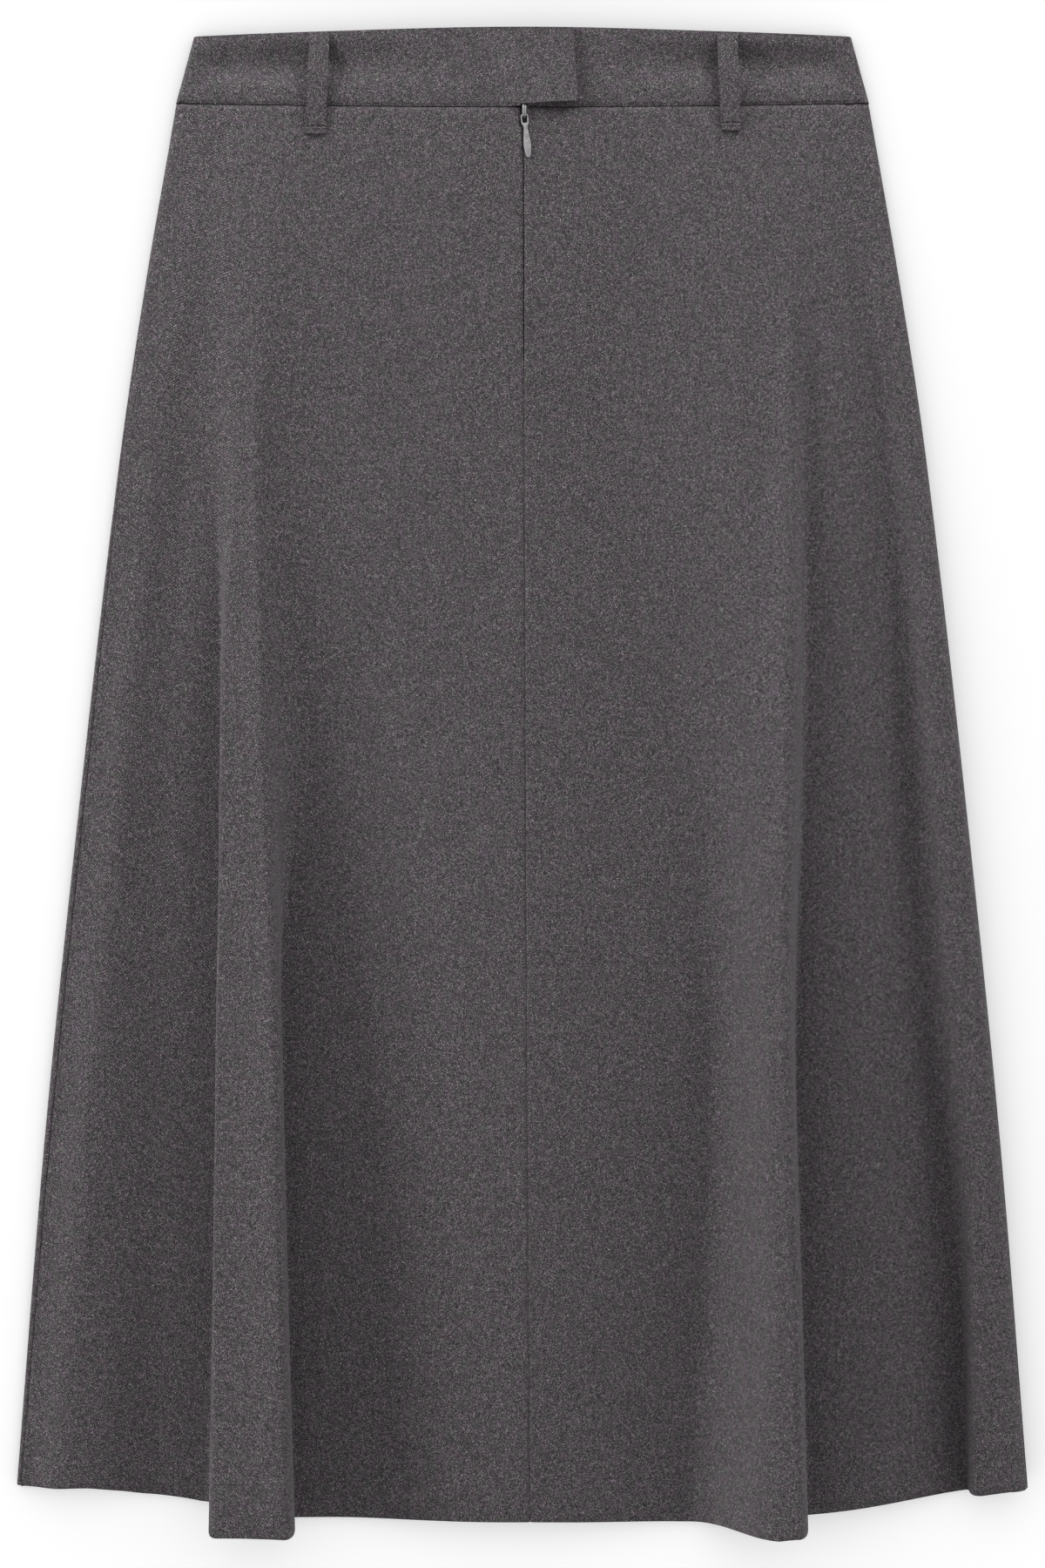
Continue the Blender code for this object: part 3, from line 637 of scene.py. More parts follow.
def roll_edges(rows, start_depth, end_depth):
    """Rolls the first and last columns down into their seams. Depths are functions of the row."""
    moves = []
    for r, points in enumerate(rows):
        for c, away in enumerate((0.0, *EDGE_STEPS)):
            for column, depth in ((c, start_depth(r)), (len(points) - 1 - c, end_depth(r))):
                move = inward(rows, r, column) * depth * bell(away / ROLL_WIDTH)
                moves.append((r, column, move))
    for r, column, move in moves:
        rows[r][column] = rows[r][column] + move


def turn_up(rows, depth, wall):
    """Adds the hem's fold and its turn-up inside. Returns the number of the fold's row."""
    hem = len(rows) - 1
    offset = 2 * wall + TURN_UP_GAP
    added = []
    for n in range(1, HEM_STEPS + 1):
        angle = math.pi * n / HEM_STEPS
        row = []
        for column, point in enumerate(rows[hem]):
            into = inward(rows, hem, column) * (1 - math.cos(angle))
            down = (rows[hem][column] - rows[hem - 1][column]).normalized() * math.sin(angle)
            row.append(point + (into + down) * offset / 2)
        added.append(row)
    rise = 0.0
    row = hem
    while row > 0 and rise < depth:
        row -= 1
        rise = (rows[hem][0] - rows[row][0]).length
        added.append([point + inward(rows, row, c) * offset for c, point in enumerate(rows[row])])
    rows += added
    return hem


def stations(fine):
    """Shares of the length at which the panels are sampled, close together round the slider if fine."""
    start, count = (NEAR_SLIDER, FINE_ROWS) if fine else (NEAR_WAIST, PLAIN_ROWS)
    return [*start, *spread(start[-1], 1.0, count)]


def panel_rows(spans, fine, uneven):
    """A panel's rows from the waist seam to the hem."""
    rows = []
    for at in stations(fine):
        row = []
        for x, z, hem_y in walk(spans(at)):
            top = seam_y(x, at) - WAIST_GAP / 2
            y = mix(top, hem_y, at)
            rise = relief(x, y) - WAIST_ROLL * bell((top - y) / WAIST_ROLL_WIDTH) if uneven else 0.0
            row.append(Vector((x, y, z + rise)))
        rows.append(row)
    return rows


# ---------------------------------------------------------------- finishes

# Noises in the wool, as waves for each metre across and along.
SWAY_WAVES = (110, 160, 1)
DRIFT_WAVES = (170, 90, 1)
NAP_WAVES = (3400, 2600, 1)
CLOUD_WAVES = (420, 300, 1)
HUE_WAVES = (150, 150, 1)
YARN_SWAY = 1.6          # how far the yarns wander, in yarns
YARN_SHADE = 0.35        # painted shade: how much darker a yarn is at its sides than along its middle
MEAN_POWER = 0.935       # about the mean of all the tones, taken off to keep the wool's mean colour
HEM_LINE_WIDTH = 0.0016
HEM_STEP_HALF = 0.004    # half the width over which the turn-up's end shows through

# Places in a noise or a wave, and the shares of a colour's red, green and blue there.
WOOL_CASTS = ((0.38, (1.05, 0.96, 1.05)), (0.62, (0.96, 1.03, 0.95)))
# On the tape these shares are painted shade between the ribs and painted highlight on them.
TAPE_RIB_SHADES = ((0.0, 3 * (0.6,)), (1.0, 3 * (1.6,)))
METAL_TONES = ((0.35, 3 * (0.82,)), (0.7, 3 * (1.15,)))

# Heights that the bumps press into the surface.
WEAVE_HEIGHT = 0.0001
HEM_HEIGHT = 0.0003
RIB_HEIGHT = 0.0001
GRAIN_HEIGHT = 0.00004

TAPE_RIB = 0.0007        # width of the tape's ribs, and of the yarns across them
TAPE_PICK = 0.0005
GRAIN_WAVES = (1500, 1500, 1500)
WEAR_WAVES = (420, 420, 420)
WEAR_ROUGHNESS = 0.22    # from the coat's smoothest patches to its roughest


def new_material(name):
    material = bpy.data.materials.new(name)
    material.use_nodes = True
    tree = material.node_tree
    return material, tree, tree.nodes["Principled BSDF"]


def node(tree, kind, **settings):
    made = tree.nodes.new(kind)
    for key, value in settings.items():
        setattr(made, key, value)
    return made


def maths(tree, operation, *values):
    """A Math node whose inputs are numbers or sockets."""
    made = node(tree, "ShaderNodeMath", operation=operation)
    for socket, value in zip(made.inputs, values):
        if isinstance(value, (int, float)):
            socket.default_value = value
        else:
            tree.links.new(value, socket)
    return made.outputs[0]


def scaled(tree, vector, scale):
    made = node(tree, "ShaderNodeMapping")
    made.inputs["Scale"].default_value = scale
    tree.links.new(vector, made.inputs["Vector"])
    return made.outputs[0]


def fibres(tree, vector, scale, detail=2.0):
    made = node(tree, "ShaderNodeTexNoise")
    made.inputs["Scale"].default_value = 1.0
    made.inputs["Detail"].default_value = detail
    tree.links.new(scaled(tree, vector, scale), made.inputs["Vector"])
    return made.outputs["Fac"]


def cell_noise(tree, across, along):
    """A random value for every crossing of two yarns."""
    cell = node(tree, "ShaderNodeCombineXYZ")
    tree.links.new(across, cell.inputs[0])
    tree.links.new(along, cell.inputs[1])
    noise_node = node(tree, "ShaderNodeTexWhiteNoise", noise_dimensions="2D")
    tree.links.new(cell.outputs[0], noise_node.inputs["Vector"])
    return noise_node.outputs["Value"]


def round_yarn(tree, share):
    """1 along the middle of a yarn and 0 at its two sides."""
    away = maths(tree, "MULTIPLY_ADD", share, 2.0, -1.0)
    return maths(tree, "SUBTRACT", 1.0, maths(tree, "MULTIPLY", away, away))


def bumped(tree, height, strength, distance, under=None):
    """The surface's direction with a height pressed into it, over another pressing if there is one."""
    made = node(tree, "ShaderNodeBump")
    made.inputs["Strength"].default_value = strength
    made.inputs["Distance"].default_value = distance
    tree.links.new(height, made.inputs["Height"])
    if under:
        tree.links.new(under, made.inputs["Normal"])
    return made.outputs[0]


def tinted(tree, place, colour, stops):
    """The colour in the tones of the stops, blended by a value."""
    made = node(tree, "ShaderNodeValToRGB")
    for element, (position, tints) in zip(made.color_ramp.elements, stops):
        element.position = position
        element.color = (*(min(1.0, c * k) for c, k in zip(colour, tints)), 1)
    tree.links.new(place, made.inputs[0])
    return made.outputs[0]


def cloth_axes(tree):
    """The cloth's UV map, and its u and v apart."""
    cloth = node(tree, "ShaderNodeUVMap", uv_map="cloth").outputs[0]
    axes = node(tree, "ShaderNodeSeparateXYZ")
    tree.links.new(cloth, axes.inputs[0])
    return cloth, axes.outputs[0], axes.outputs[1]


def hem_press(tree, height, settings):
    """The bump of the hem's stitching line and of the step where the turn-up ends."""
    away = maths(tree, "DIVIDE", maths(tree, "SUBTRACT", height, settings.hem_depth), HEM_LINE_WIDTH)
    groove = maths(tree, "EXPONENT", maths(tree, "MULTIPLY", maths(tree, "MULTIPLY", away, away), -1.0))
    step = node(tree, "ShaderNodeMapRange", interpolation_type="SMOOTHSTEP")
    step.inputs["From Min"].default_value = settings.hem_depth - HEM_STEP_HALF
    step.inputs["From Max"].default_value = settings.hem_depth + HEM_STEP_HALF
    step.inputs["To Min"].default_value = 0.6
    step.inputs["To Max"].default_value = 0.0
    tree.links.new(height, step.inputs["Value"])
    return bumped(tree, maths(tree, "SUBTRACT", step.outputs[0], groove), 0.6, HEM_HEIGHT)


def wool(name, settings, hem_line):
    """Heather twill: each yarn passes over two and under one, in lines that climb to the right, and every
    crossing has its own tone, as the wool is a mixture of light and dark fibres."""
    material, tree, shader = new_material(name)
    cloth, u, v = cloth_axes(tree)
    ways = []
    for axis, waves in ((u, SWAY_WAVES), (v, DRIFT_WAVES)):
        wander = maths(tree, "MULTIPLY_ADD", fibres(tree, cloth, waves, 1.0), YARN_SWAY, -YARN_SWAY / 2)
        ways.append(maths(tree, "MULTIPLY_ADD", axis, 1 / settings.yarn, wander))
    across, along = ways
    column, row = (maths(tree, "FLOOR", way) for way in ways)
    crossing = cell_noise(tree, column, row)
    strand = cell_noise(tree, *(maths(tree, "FLOOR", maths(tree, "MULTIPLY", way, 2.0)) for way in ways))
    place = maths(tree, "FLOORED_MODULO", maths(tree, "SUBTRACT", column, row), 3.0)
    over = maths(tree, "LESS_THAN", place, 1.5)
    yarn = node(tree, "ShaderNodeMix")
    tree.links.new(over, yarn.inputs["Factor"])
    tree.links.new(round_yarn(tree, maths(tree, "FRACT", along)), yarn.inputs["A"])
    tree.links.new(round_yarn(tree, maths(tree, "FRACT", across)), yarn.inputs["B"])
    yarn = yarn.outputs["Result"]
    cloud = fibres(tree, cloth, CLOUD_WAVES, 3.0)

    power = maths(tree, "MULTIPLY_ADD", crossing, settings.fleck, -settings.fleck / 2)
    power = maths(tree, "MULTIPLY_ADD", maths(tree, "SUBTRACT", strand, 0.5), settings.fuzz, power)
    power = maths(tree, "MULTIPLY_ADD", maths(tree, "SUBTRACT", cloud, 0.5), settings.cloud, power)
    power = maths(tree, "MULTIPLY_ADD", over, settings.twill, power)
    # Painted shade: each yarn is darker at its sides, where it rounds down between its neighbours, on the
    # same profile as the weave's bump.
    power = maths(tree, "MULTIPLY_ADD", yarn, YARN_SHADE, power)
    factor = maths(tree, "EXPONENT", maths(tree, "SUBTRACT", power, MEAN_POWER))
    cast = tinted(tree, fibres(tree, cloth, HUE_WAVES, 2.0), settings.wool, WOOL_CASTS)
    colour = node(tree, "ShaderNodeVectorMath", operation="SCALE")
    tree.links.new(cast, colour.inputs[0])
    tree.links.new(factor, colour.inputs["Scale"])
    tree.links.new(colour.outputs[0], shader.inputs["Base Color"])

    nap = fibres(tree, cloth, NAP_WAVES, 3.0)
    pressed = hem_press(tree, v, settings) if hem_line else None
    weave = bumped(tree, maths(tree, "MULTIPLY_ADD", nap, 0.5, yarn), 0.6, WEAVE_HEIGHT, pressed)
    tree.links.new(weave, shader.inputs["Normal"])
    shader.inputs["Roughness"].default_value = 0.95
    shader.inputs["Specular IOR Level"].default_value = 0.15
    shader.inputs["Sheen Weight"].default_value = 0.05
    shader.inputs["Sheen Roughness"].default_value = 0.6
    shader.inputs["Sheen Tint"].default_value = (0.80, 0.78, 0.80, 1)
    return material


def tape_finish(name, settings):
    """Ribbed woven tape, with painted shade in the grooves between its ribs and painted highlight on their
    tops.
    """
    material, tree, shader = new_material(name)
    _, u, v = cloth_axes(tree)
    ribs = maths(tree, "SINE", maths(tree, "MULTIPLY", u, math.tau / TAPE_RIB))
    picks = maths(tree, "SINE", maths(tree, "MULTIPLY", v, math.tau / TAPE_PICK))
    pressed = bumped(tree, maths(tree, "MULTIPLY_ADD", picks, 0.3, ribs), 0.6, RIB_HEIGHT)
    tree.links.new(pressed, shader.inputs["Normal"])
    # Painted shade and highlight: the tape is darker in the grooves between its ribs and lighter on them,
    # following the ribs' bump.
    tone = tinted(tree, maths(tree, "MULTIPLY_ADD", ribs, 0.5, 0.5), settings.tape, TAPE_RIB_SHADES)
    tree.links.new(tone, shader.inputs["Base Color"])
    shader.inputs["Roughness"].default_value = 0.8
    return material


def metal(name, colour, roughness, metallic):
    """Cast zinc under a thin grey coat, slightly uneven and worn."""
    material, tree, shader = new_material(name)
    place = node(tree, "ShaderNodeTexCoord").outputs["Object"]
    grain = fibres(tree, place, GRAIN_WAVES, 3.0)
    wear = fibres(tree, place, WEAR_WAVES, 2.0)
    tree.links.new(tinted(tree, wear, colour, METAL_TONES), shader.inputs["Base Color"])
    rough = maths(tree, "MULTIPLY_ADD", wear, WEAR_ROUGHNESS, roughness - WEAR_ROUGHNESS / 2)
    tree.links.new(rough, shader.inputs["Roughness"])
    tree.links.new(bumped(tree, grain, 0.15, GRAIN_HEIGHT), shader.inputs["Normal"])
    shader.inputs["Metallic"].default_value = metallic
    return material


def finish(name):
    """The finish of that name, made once."""
    made = bpy.data.materials.get(name)
    settings = bpy.context.scene.skirt
    if made:
        return made
    if name == "wool_panels":
        return wool(name, settings, True)
    if name == "wool_band":
        return wool(name, settings, False)
    if name == "tape_woven":
        return tape_finish(name, settings)
    if name == "slider_coated":
        return metal(name, settings.slider, roughness=0.42, metallic=0.8)
    return metal(name, settings.pull, roughness=0.5, metallic=0.2)


# ---------------------------------------------------------------- skirt panels


def side_edge(row):
    """How far a panel's edge rolls down into a side seam."""
    return SIDE_ROLL


def centre_edge(row):
    """The same at the centre back, first along the zip and then along the sewn seam."""
    return ZIP_ROLL if row < ZIP_ROWS else SEAM_ROLL


ZIP_ROWS = len([at for at in stations(True) if seam_drop(at) < ZIP_LENGTH])

# The panels: whether they are sampled finely, which seams their first and last columns meet, the column
# from which the twill is measured, and the size and area of the piece as cut.
Sheet = namedtuple("Sheet", "name node spans fine edges anchor flat area")
PANELS = (
    Sheet("cloth_back_left", "back_panel_left", left_back_spans, True, (side_edge, centre_edge), -1,
          (0.345, 0.825), 0.225),
    Sheet("cloth_back_right", "back_panel_right", right_back_spans, True, (centre_edge, side_edge), 0,
          (0.345, 0.825), 0.225),
    Sheet("cloth_front", "front_panel", front_spans, False, (side_edge, side_edge), 0,
          (0.600, 0.820), 0.410),
)


class SKIRT_OT_panels(bpy.types.Operator):
    """Make the front panel and the two back panels, with rolled seam edges and the hem turned up inside"""

    bl_idname = "skirt.panels"
    bl_label = "Skirt panels"

    def execute(self, context):
        settings = context.scene.skirt
        for panel in PANELS:
            rows = panel_rows(panel.spans, panel.fine, panel.fine)
            roll_edges(rows, *panel.edges)
            hem = turn_up(rows, settings.hem_depth, settings.cloth)
            uvs = grid_uvs(rows, panel.anchor, hem)
            piece = cloth_grid(panel.name, rows, settings.cloth, finish("wool_panels"), uvs)
            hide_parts(panel.node)
        return {"FINISHED"}


# ---------------------------------------------------------------- waistband

TAB_LENGTH = 0.0300
TAB_RAMP = 0.0120        # over which the band climbs on to its other end
TAB_CLEAR = 0.0005       # the tab lies this much higher than its own wall on the band under it
TAB_LIFT = 0.00224       # how much further the tab's lower edge stands up
TAB_TOP_DIP = 0.30       # the lifted tab's top edge is drawn down by this share of its lift
TAB_RAISE = 0.0023       # how far the tab's lower edge is raised above the waist seam's line, of which
TAB_RAISE_NEAR = 0.45    # this share at once
TAB_RAISE_FAR = 0.30     # and this one by the tab's end
TAB_NARROWS = 0.06       # the share by which the tab is shorter at its top
TAB_EASE = 0.0001        # added to the tab's length
TAB_EDGE_STEPS = (-0.0006, -0.0003, 0.0, 0.0003, 0.0006)
NOTCH_STEP = 0.0010      # the way over which the lower edge changes from the seam to the tab
IMPRINT = 0.00035        # mark of the zip's end under the tab
IMPRINT_HALF = 0.0016
IMPRINT_TOP = 0.52       # share of the band's height at which it ends
IMPRINT_FADE = 0.1       # and the share below that over which it grows
LEFT_STEPS = 70
RAMP_STEPS = 12
TAB_STEPS = 20
RIGHT_STEPS = 80
FRONT_STEPS = 60
BAND_ARCH = 0.0009       # rise of the top edge above the zip
BAND_ARCH_HALF = 0.11
BAND_CLOTH = 0.0016      # thickness of the band, a little thinner than its solid
BAND_RIM = 0.0007        # how far its edges are rounded
BAND_LOW_STEPS = (0.045, 0.03, 0.017, 0.008, 0.0)

# The long soft dent at both ends of the back band: its depth, where it starts beside the centre back, how
# far it takes to deepen there and at the side, where and by what share it is deepest, and the middle and
# half of its height as shares of the band's.
Dent = namedtuple("Dent", "depth start ramp side_ramp deepest_x deepest_half deeper middle half")
BAND_DENT = Dent(0.0034, 0.025, 0.080, 0.022, 0.125, 0.030, 0.35, 0.56, 0.36)


def band_half(up):
    """Half the band's width at a share of its height."""
    return mix(SIDES[0].left, BAND_TOP_HALF, up)


def band_top(x, up_half):
    """y of the band's top edge."""
    return BAND_TOP_Y + BAND_TOP_SIDE * (x / up_half) ** 2 + BAND_ARCH * bell(x / BAND_ARCH_HALF)


def band_height(x, up):
    """Outer face of the back band."""
    return WAIST_REST_Z + WAIST_LOFT * max(0.0, 1 - (x / (band_half(up) - BAND_TURN)) ** 2)


def band_sag(x, up):
    """Towards its two ends the back band has a long soft dent below its top edge."""
    dent, away = BAND_DENT, abs(x)
    share = smooth((away - dent.start) / dent.ramp) * smooth((band_half(up) - away) / dent.side_ramp)
    share *= 1 + dent.deeper * bell((away - dent.deepest_x) / dent.deepest_half)
    return -dent.depth * share * bell((up - dent.middle) / dent.half)


def band_point(x, z, up, low_y, dip=0.0):
    """A point between the band's lower edge and its top edge, which may be drawn down."""
    top = band_top(x, band_half(up)) - dip
    return Vector((x, mix(low_y, top, up), z))


def band_ups(count=16):
    """Shares of the band's height from its top edge down, close together at the waist seam."""
    return [*(1 - n / count for n in range(count)), *BAND_LOW_STEPS]


def waist_roll(up):
    """How far the band's lower edge rolls down into the waist seam."""
    return WAIST_ROLL * bell(up * (BAND_TOP_Y - WAIST_SEAM_Y) / WAIST_ROLL_WIDTH)


def band_turn(sign, up, upper, count=8):
    """x and z round one side of the band, from its side seam to the top or down to the table."""
    centre = sign * (band_half(up) - BAND_TURN)
    gap = math.degrees(BAND_SIDE_GAP / 2 / BAND_TURN)
    seam, end = (gap, 90) if upper else (-gap, -90)
    arc = turn(centre, BAND_TURN, 2 * BAND_TURN, sign, seam, end, 0.0)
    return [arc((n / count) ** 2)[:2] for n in range(count + 1)]


def tab_stops(edge, end):
    """Where the left band is sampled, from its turned side to the tab's end, closely at the notch."""
    side, ramp = BAND_TURN - SIDES[0].left, edge - TAB_RAMP
    stops = [side, *spread(side, ramp, LEFT_STEPS)]
    stops += spread(ramp, edge + 2 * TAB_EDGE_STEPS[0], RAMP_STEPS)
    stops += [edge + step for step in TAB_EDGE_STEPS]
    return stops + spread(edge + TAB_EDGE_STEPS[-1], end, TAB_STEPS)


def left_band_rows():
    """The back band on the left, which climbs at the centre back and runs on as the tab."""
    seam = centre_seam(0.0)
    edge = seam - NOTCH_HALF_GAP
    stops = tab_stops(edge, seam + TAB_LENGTH + TAB_EASE)
    rows = []
    for up in band_ups():
        turned = band_turn(-1, up, True)
        row = [band_point(x, z, up, seam_y(x, 0.0) + WAIST_GAP / 2) for x, z in turned[:-1]]
        squeeze = (band_half(up) - BAND_TURN) / (SIDES[0].left - BAND_TURN)
        for stop in stops:
            x = mix(stop * squeeze, stop, smooth((stop - stops[0]) / (edge - TAB_RAMP - stops[0])))
            if stop > edge:
                x -= (stop - edge) * TAB_NARROWS * up
            on_tab = smooth((x - seam + TAB_RAMP) / (TAB_RAMP - NOTCH_HALF_GAP))
            past = smooth((x - edge) / NOTCH_STEP + 0.5)
            lift = (BAND_WALL + TAB_CLEAR) * on_tab
            lift += TAB_LIFT * (1 - up) ** 2 * smooth((x - edge) / (TAB_LENGTH / 2))
            raised = TAB_RAISE_NEAR + TAB_RAISE_FAR * smooth((x - edge) / TAB_LENGTH)
            low = seam_y(x, 0.0) + WAIST_GAP / 2 + TAB_RAISE * past * raised
            z = band_height(x, up) + lift + band_sag(x, up) * (1 - on_tab)
            z -= waist_roll(up) * (1 - past)
            imprint = IMPRINT * bell((x - seam) / IMPRINT_HALF) * smooth((IMPRINT_TOP - up) / IMPRINT_FADE)
            z -= imprint * past
            row.append(band_point(x, z, up, low, lift * TAB_TOP_DIP))
        rows.append(row)
    return rows


def right_band_rows():
    """The back band on the right, from its end under the tab to the side seam."""
    start = centre_seam(0.0) + NOTCH_HALF_GAP + SEAM_GAP
    rows = []
    for up in band_ups():
        end = band_half(up) - BAND_TURN
        row = []
        for n in range(RIGHT_STEPS):
            x = mix(start, end, n / RIGHT_STEPS)
            z = band_height(x, up) + band_sag(x, up) - waist_roll(up)
            row.append(band_point(x, z, up, seam_y(x, 0.0) + WAIST_GAP / 2))
        for x, z in reversed(band_turn(1, up, True)):
            row.append(band_point(x, z, up, seam_y(x, 0.0) + WAIST_GAP / 2))
        rows.append(row)
    return rows


def front_band_rows():
    """The front band, from one side seam under the skirt to the other."""
    rows = []
    for up in band_ups():
        half = band_half(up) - BAND_TURN
        across = [(x, 0.0) for x in spread(half, -half, FRONT_STEPS)[:-1]]
        row = []
        for x, z in band_turn(1, up, False) + across + list(reversed(band_turn(-1, up, False))):
            dip = FRONT_WAIST_DIP * smooth((half - abs(x)) / FRONT_DIP_RAMP)
            row.append(band_point(x, z, up, seam_y(x, 0.0) + SEAM_GAP / 2, dip))
        rows.append(row)
    return rows


class SKIRT_OT_waistband(bpy.types.Operator):
    """Make the shaped waistband: the front band, and the two back bands with the tab over the zip"""

    bl_idname = "skirt.waistband"
    bl_label = "Waistband"

    def execute(self, context):
        for name, replaced, rows, anchor, flat in (
            ("band_left", "waistband_left", left_band_rows(), -1, (0.225, 0.046)),
            ("band_right", "waistband_right", right_band_rows(), 0, (0.195, 0.046)),
            ("band_front", "waistband_front", front_band_rows(), 0, (0.392, 0.044)),
        ):
            uvs = grid_uvs(rows, anchor, len(rows) - 1)
            piece = cloth_grid(name, rows, BAND_CLOTH, finish("wool_band"), uvs, rim=BAND_RIM)
            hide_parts(replaced)
        return {"FINISHED"}


# ---------------------------------------------------------------- belt loops

BeltLoop = namedtuple("BeltLoop", "name node top_x foot_x foot_y band")
BELT_LOOPS = (
    BeltLoop("loop_left", "belt_loop_left", -0.1132, -0.1154, 0.3582, "band_left"),
    BeltLoop("loop_right", "belt_loop_right", 0.1139, 0.1163, 0.3600, "band_right"),
)
LOOP_WIDTH = 0.0112
LOOP_CLOTH = 0.0011      # thickness of a loop
LOOP_RIM = 0.0005        # how far its edges are rounded
LOOP_STAND = 0.0015      # its outer face above the cloth under it
LOOP_SET_BACK = 0.0014   # from the band's top edge
LOOP_RISE = 0.0016       # how far its middle stands up
LOOP_ARCH = 0.00025      # how much lower its two sides are
LOOP_TOP_DROP = 0.0006   # how far it is drawn down at its top
LOOP_TOP_LENGTH = 0.0025
LOOP_FEEL = 0.002        # it rests on the highest cloth within this distance up and down
LOOP_COLUMNS = 10
LOOP_FINE_FROM = 0.86    # from this share of its length to its foot it is sampled closely
LOOP_STEPS = 40
LOOP_FINE_STEPS = 32

# The ridge of a loop's folded end and the groove of its tacking: the distance from the foot, half the
# length and the rise.
FOOT_MARKS = ((0.0029, 0.0008, 0.0003), (0.0040, 0.0009, -0.0006))


def panel_height(x, at):
    """Outer face of the back layer at x, read from its section."""
    spans = left_back_spans(at) if x < centre_seam(at) else right_back_spans(at)
    points = walk(spans)
    for (x0, z0, _), (x1, z1, _) in zip(points, points[1:]):
        if x0 <= x <= x1:
            return mix(z0, z1, (x - x0) / (x1 - x0))
    return base_height(x, at)


def back_height(x, y):
    """Outer face of the band or of a back panel near the waist."""
    top = seam_y(x, 0.0)
    if y > top:
        up = (y - top) / (band_top(x, BAND_TOP_HALF) - top)
        return band_height(x, min(1.0, up))
    return panel_height(x, (top - y) / (top - HEM.centre))


def height_under(x, y):
    """The highest place of the cloth under a loop, close to x and y."""
    steps = (-1, 0, 1)
    return max(
        back_height(x + side * LOOP_WIDTH / 2, y + step * LOOP_FEEL) for side in steps for step in steps
    )


def loop_rows(loop):
    """A loop's rows, from its top to its foot."""
    top_y = band_top(loop.top_x, BAND_TOP_HALF) - LOOP_SET_BACK
    length = top_y - loop.foot_y
    plain_steps = [n / LOOP_STEPS * LOOP_FINE_FROM for n in range(LOOP_STEPS)]
    rows = []
    for t in [*plain_steps, LOOP_FINE_FROM, *spread(LOOP_FINE_FROM, 1.0, LOOP_FINE_STEPS)]:
        y = mix(top_y, loop.foot_y, t)
        middle = mix(loop.top_x, loop.foot_x, t)
        z = height_under(middle, y) + LOOP_STAND + LOOP_RISE * math.sin(math.pi * t) ** 2
        for place, half, rise in FOOT_MARKS:
            z += rise * bell(((1 - t) * length - place) / half)
        z -= LOOP_TOP_DROP * bell(t * length / LOOP_TOP_LENGTH)
        row = []
        for m in range(LOOP_COLUMNS + 1):
            side = 2 * m / LOOP_COLUMNS - 1
            row.append(Vector((middle + side * LOOP_WIDTH / 2, y, z - LOOP_ARCH * side * side)))
        rows.append(row)
    return rows


class SKIRT_OT_belt_loops(bpy.types.Operator):
    """Make the two belt loops, each with its end folded under and tacked"""

    bl_idname = "skirt.belt_loops"
    bl_label = "Belt loops"

    def execute(self, context):
        for loop in BELT_LOOPS:
            rows = loop_rows(loop)
            uvs = grid_uvs(rows, LOOP_COLUMNS // 2, len(rows) - 1)
            piece = cloth_grid(loop.name, rows, LOOP_CLOTH, finish("wool_band"), uvs, rim=LOOP_RIM)
            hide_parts(loop.node)
        return {"FINISHED"}


# ---------------------------------------------------------------- zip

TAPE_HALF_WIDTH = 0.0120
TAPE_DEPTH = 0.0015      # below the cloth's outer face
TAPE_WALL = 0.0005
TAPE_START = 0.0006      # from the waist seam down
TAPE_TAIL = 0.006        # past the end of the zip
TAPE_ROWS = 60
TAPE_COLUMNS = 12
COIL_TURN = (0.0030, 0.0006, 0.0005)  # size of one turn
COIL_PITCH = 0.0011
COIL_DEPTH = 0.00045     # below the cloth's inner face
COIL_RIM = 0.00016       # how far its edges are rounded
SLIDER_TOP_Y = 0.3744
SLIDER_LENGTH = 0.0078
SLIDER_HALF_WIDTH = 0.00108
SLIDER_OFF_SEAM = 0.0005
SLIDER_BODY_HEIGHT = 0.0009
GROOVE_HALF_WIDTH = 0.00034
GROOVE_DEPTH = 0.00035
RAIL_HALF_WALL = 0.00028
SLIDER_RIM = 0.00012
PIVOT_FROM_TOP = 0.0066
PIVOT_Z = 0.0008
PULL_TURN = math.radians(6)
PULL_LENGTH = 0.0238
PULL_WALL = 0.0009
EYE_HALF_WIDTH = 0.0021
EYE_BAR = 0.0007         # width of the pull's rim round its eye
EYE_CORNER = 0.0007      # radius of the eye's corners
EYE_LOW = -0.0044        # the eye's lower end, from the pivot
PULL_RIM = 0.00024
PIECE_DEGREES = 35       # an edge of the zip's pieces that is sharper than this isn't shaded smooth

# The line of the slider's rails, from its waist end down: the distance up the seam from the pivot, and the
# height above the cloth.
RAIL_TOP = PIVOT_FROM_TOP
RAIL_LOW = PIVOT_FROM_TOP - SLIDER_LENGTH
RAIL_PATH = (
    (RAIL_TOP - 0.0006, -0.0004), (RAIL_TOP - 0.0003, 0.0008), (RAIL_TOP - 0.0012, 0.0016),
    (RAIL_TOP - 0.0030, 0.00195), (0.0012, 0.0020), (-0.0002, 0.0019),
    (RAIL_LOW + 0.0005, 0.0014), (RAIL_LOW + 0.0003, 0.0004), (RAIL_LOW + 0.0004, -0.0004),
)

# Half the pull's width at distances from its pivot.
Pull = namedtuple("Pull", "along half_width")
PULL_OUTLINE = (
    Pull(-0.0005, 0.0000),
    Pull(-0.0005, 0.0012),
    Pull(-0.0002, 0.0019),
    Pull(0.0008, EYE_HALF_WIDTH),
    Pull(0.0028, EYE_HALF_WIDTH),
    Pull(0.0046, 0.0020),
    Pull(0.0057, 0.0014),
    Pull(0.0070, 0.0011),
    Pull(0.0088, 0.0012),
    Pull(0.0112, 0.0015),
    Pull(0.0140, 0.00185),
    Pull(0.0168, 0.00200),
    Pull(0.0192, 0.00185),
    Pull(0.0215, 0.00150),
    Pull(0.0231, 0.00100),
    Pull(PULL_LENGTH, 0.0000),
)


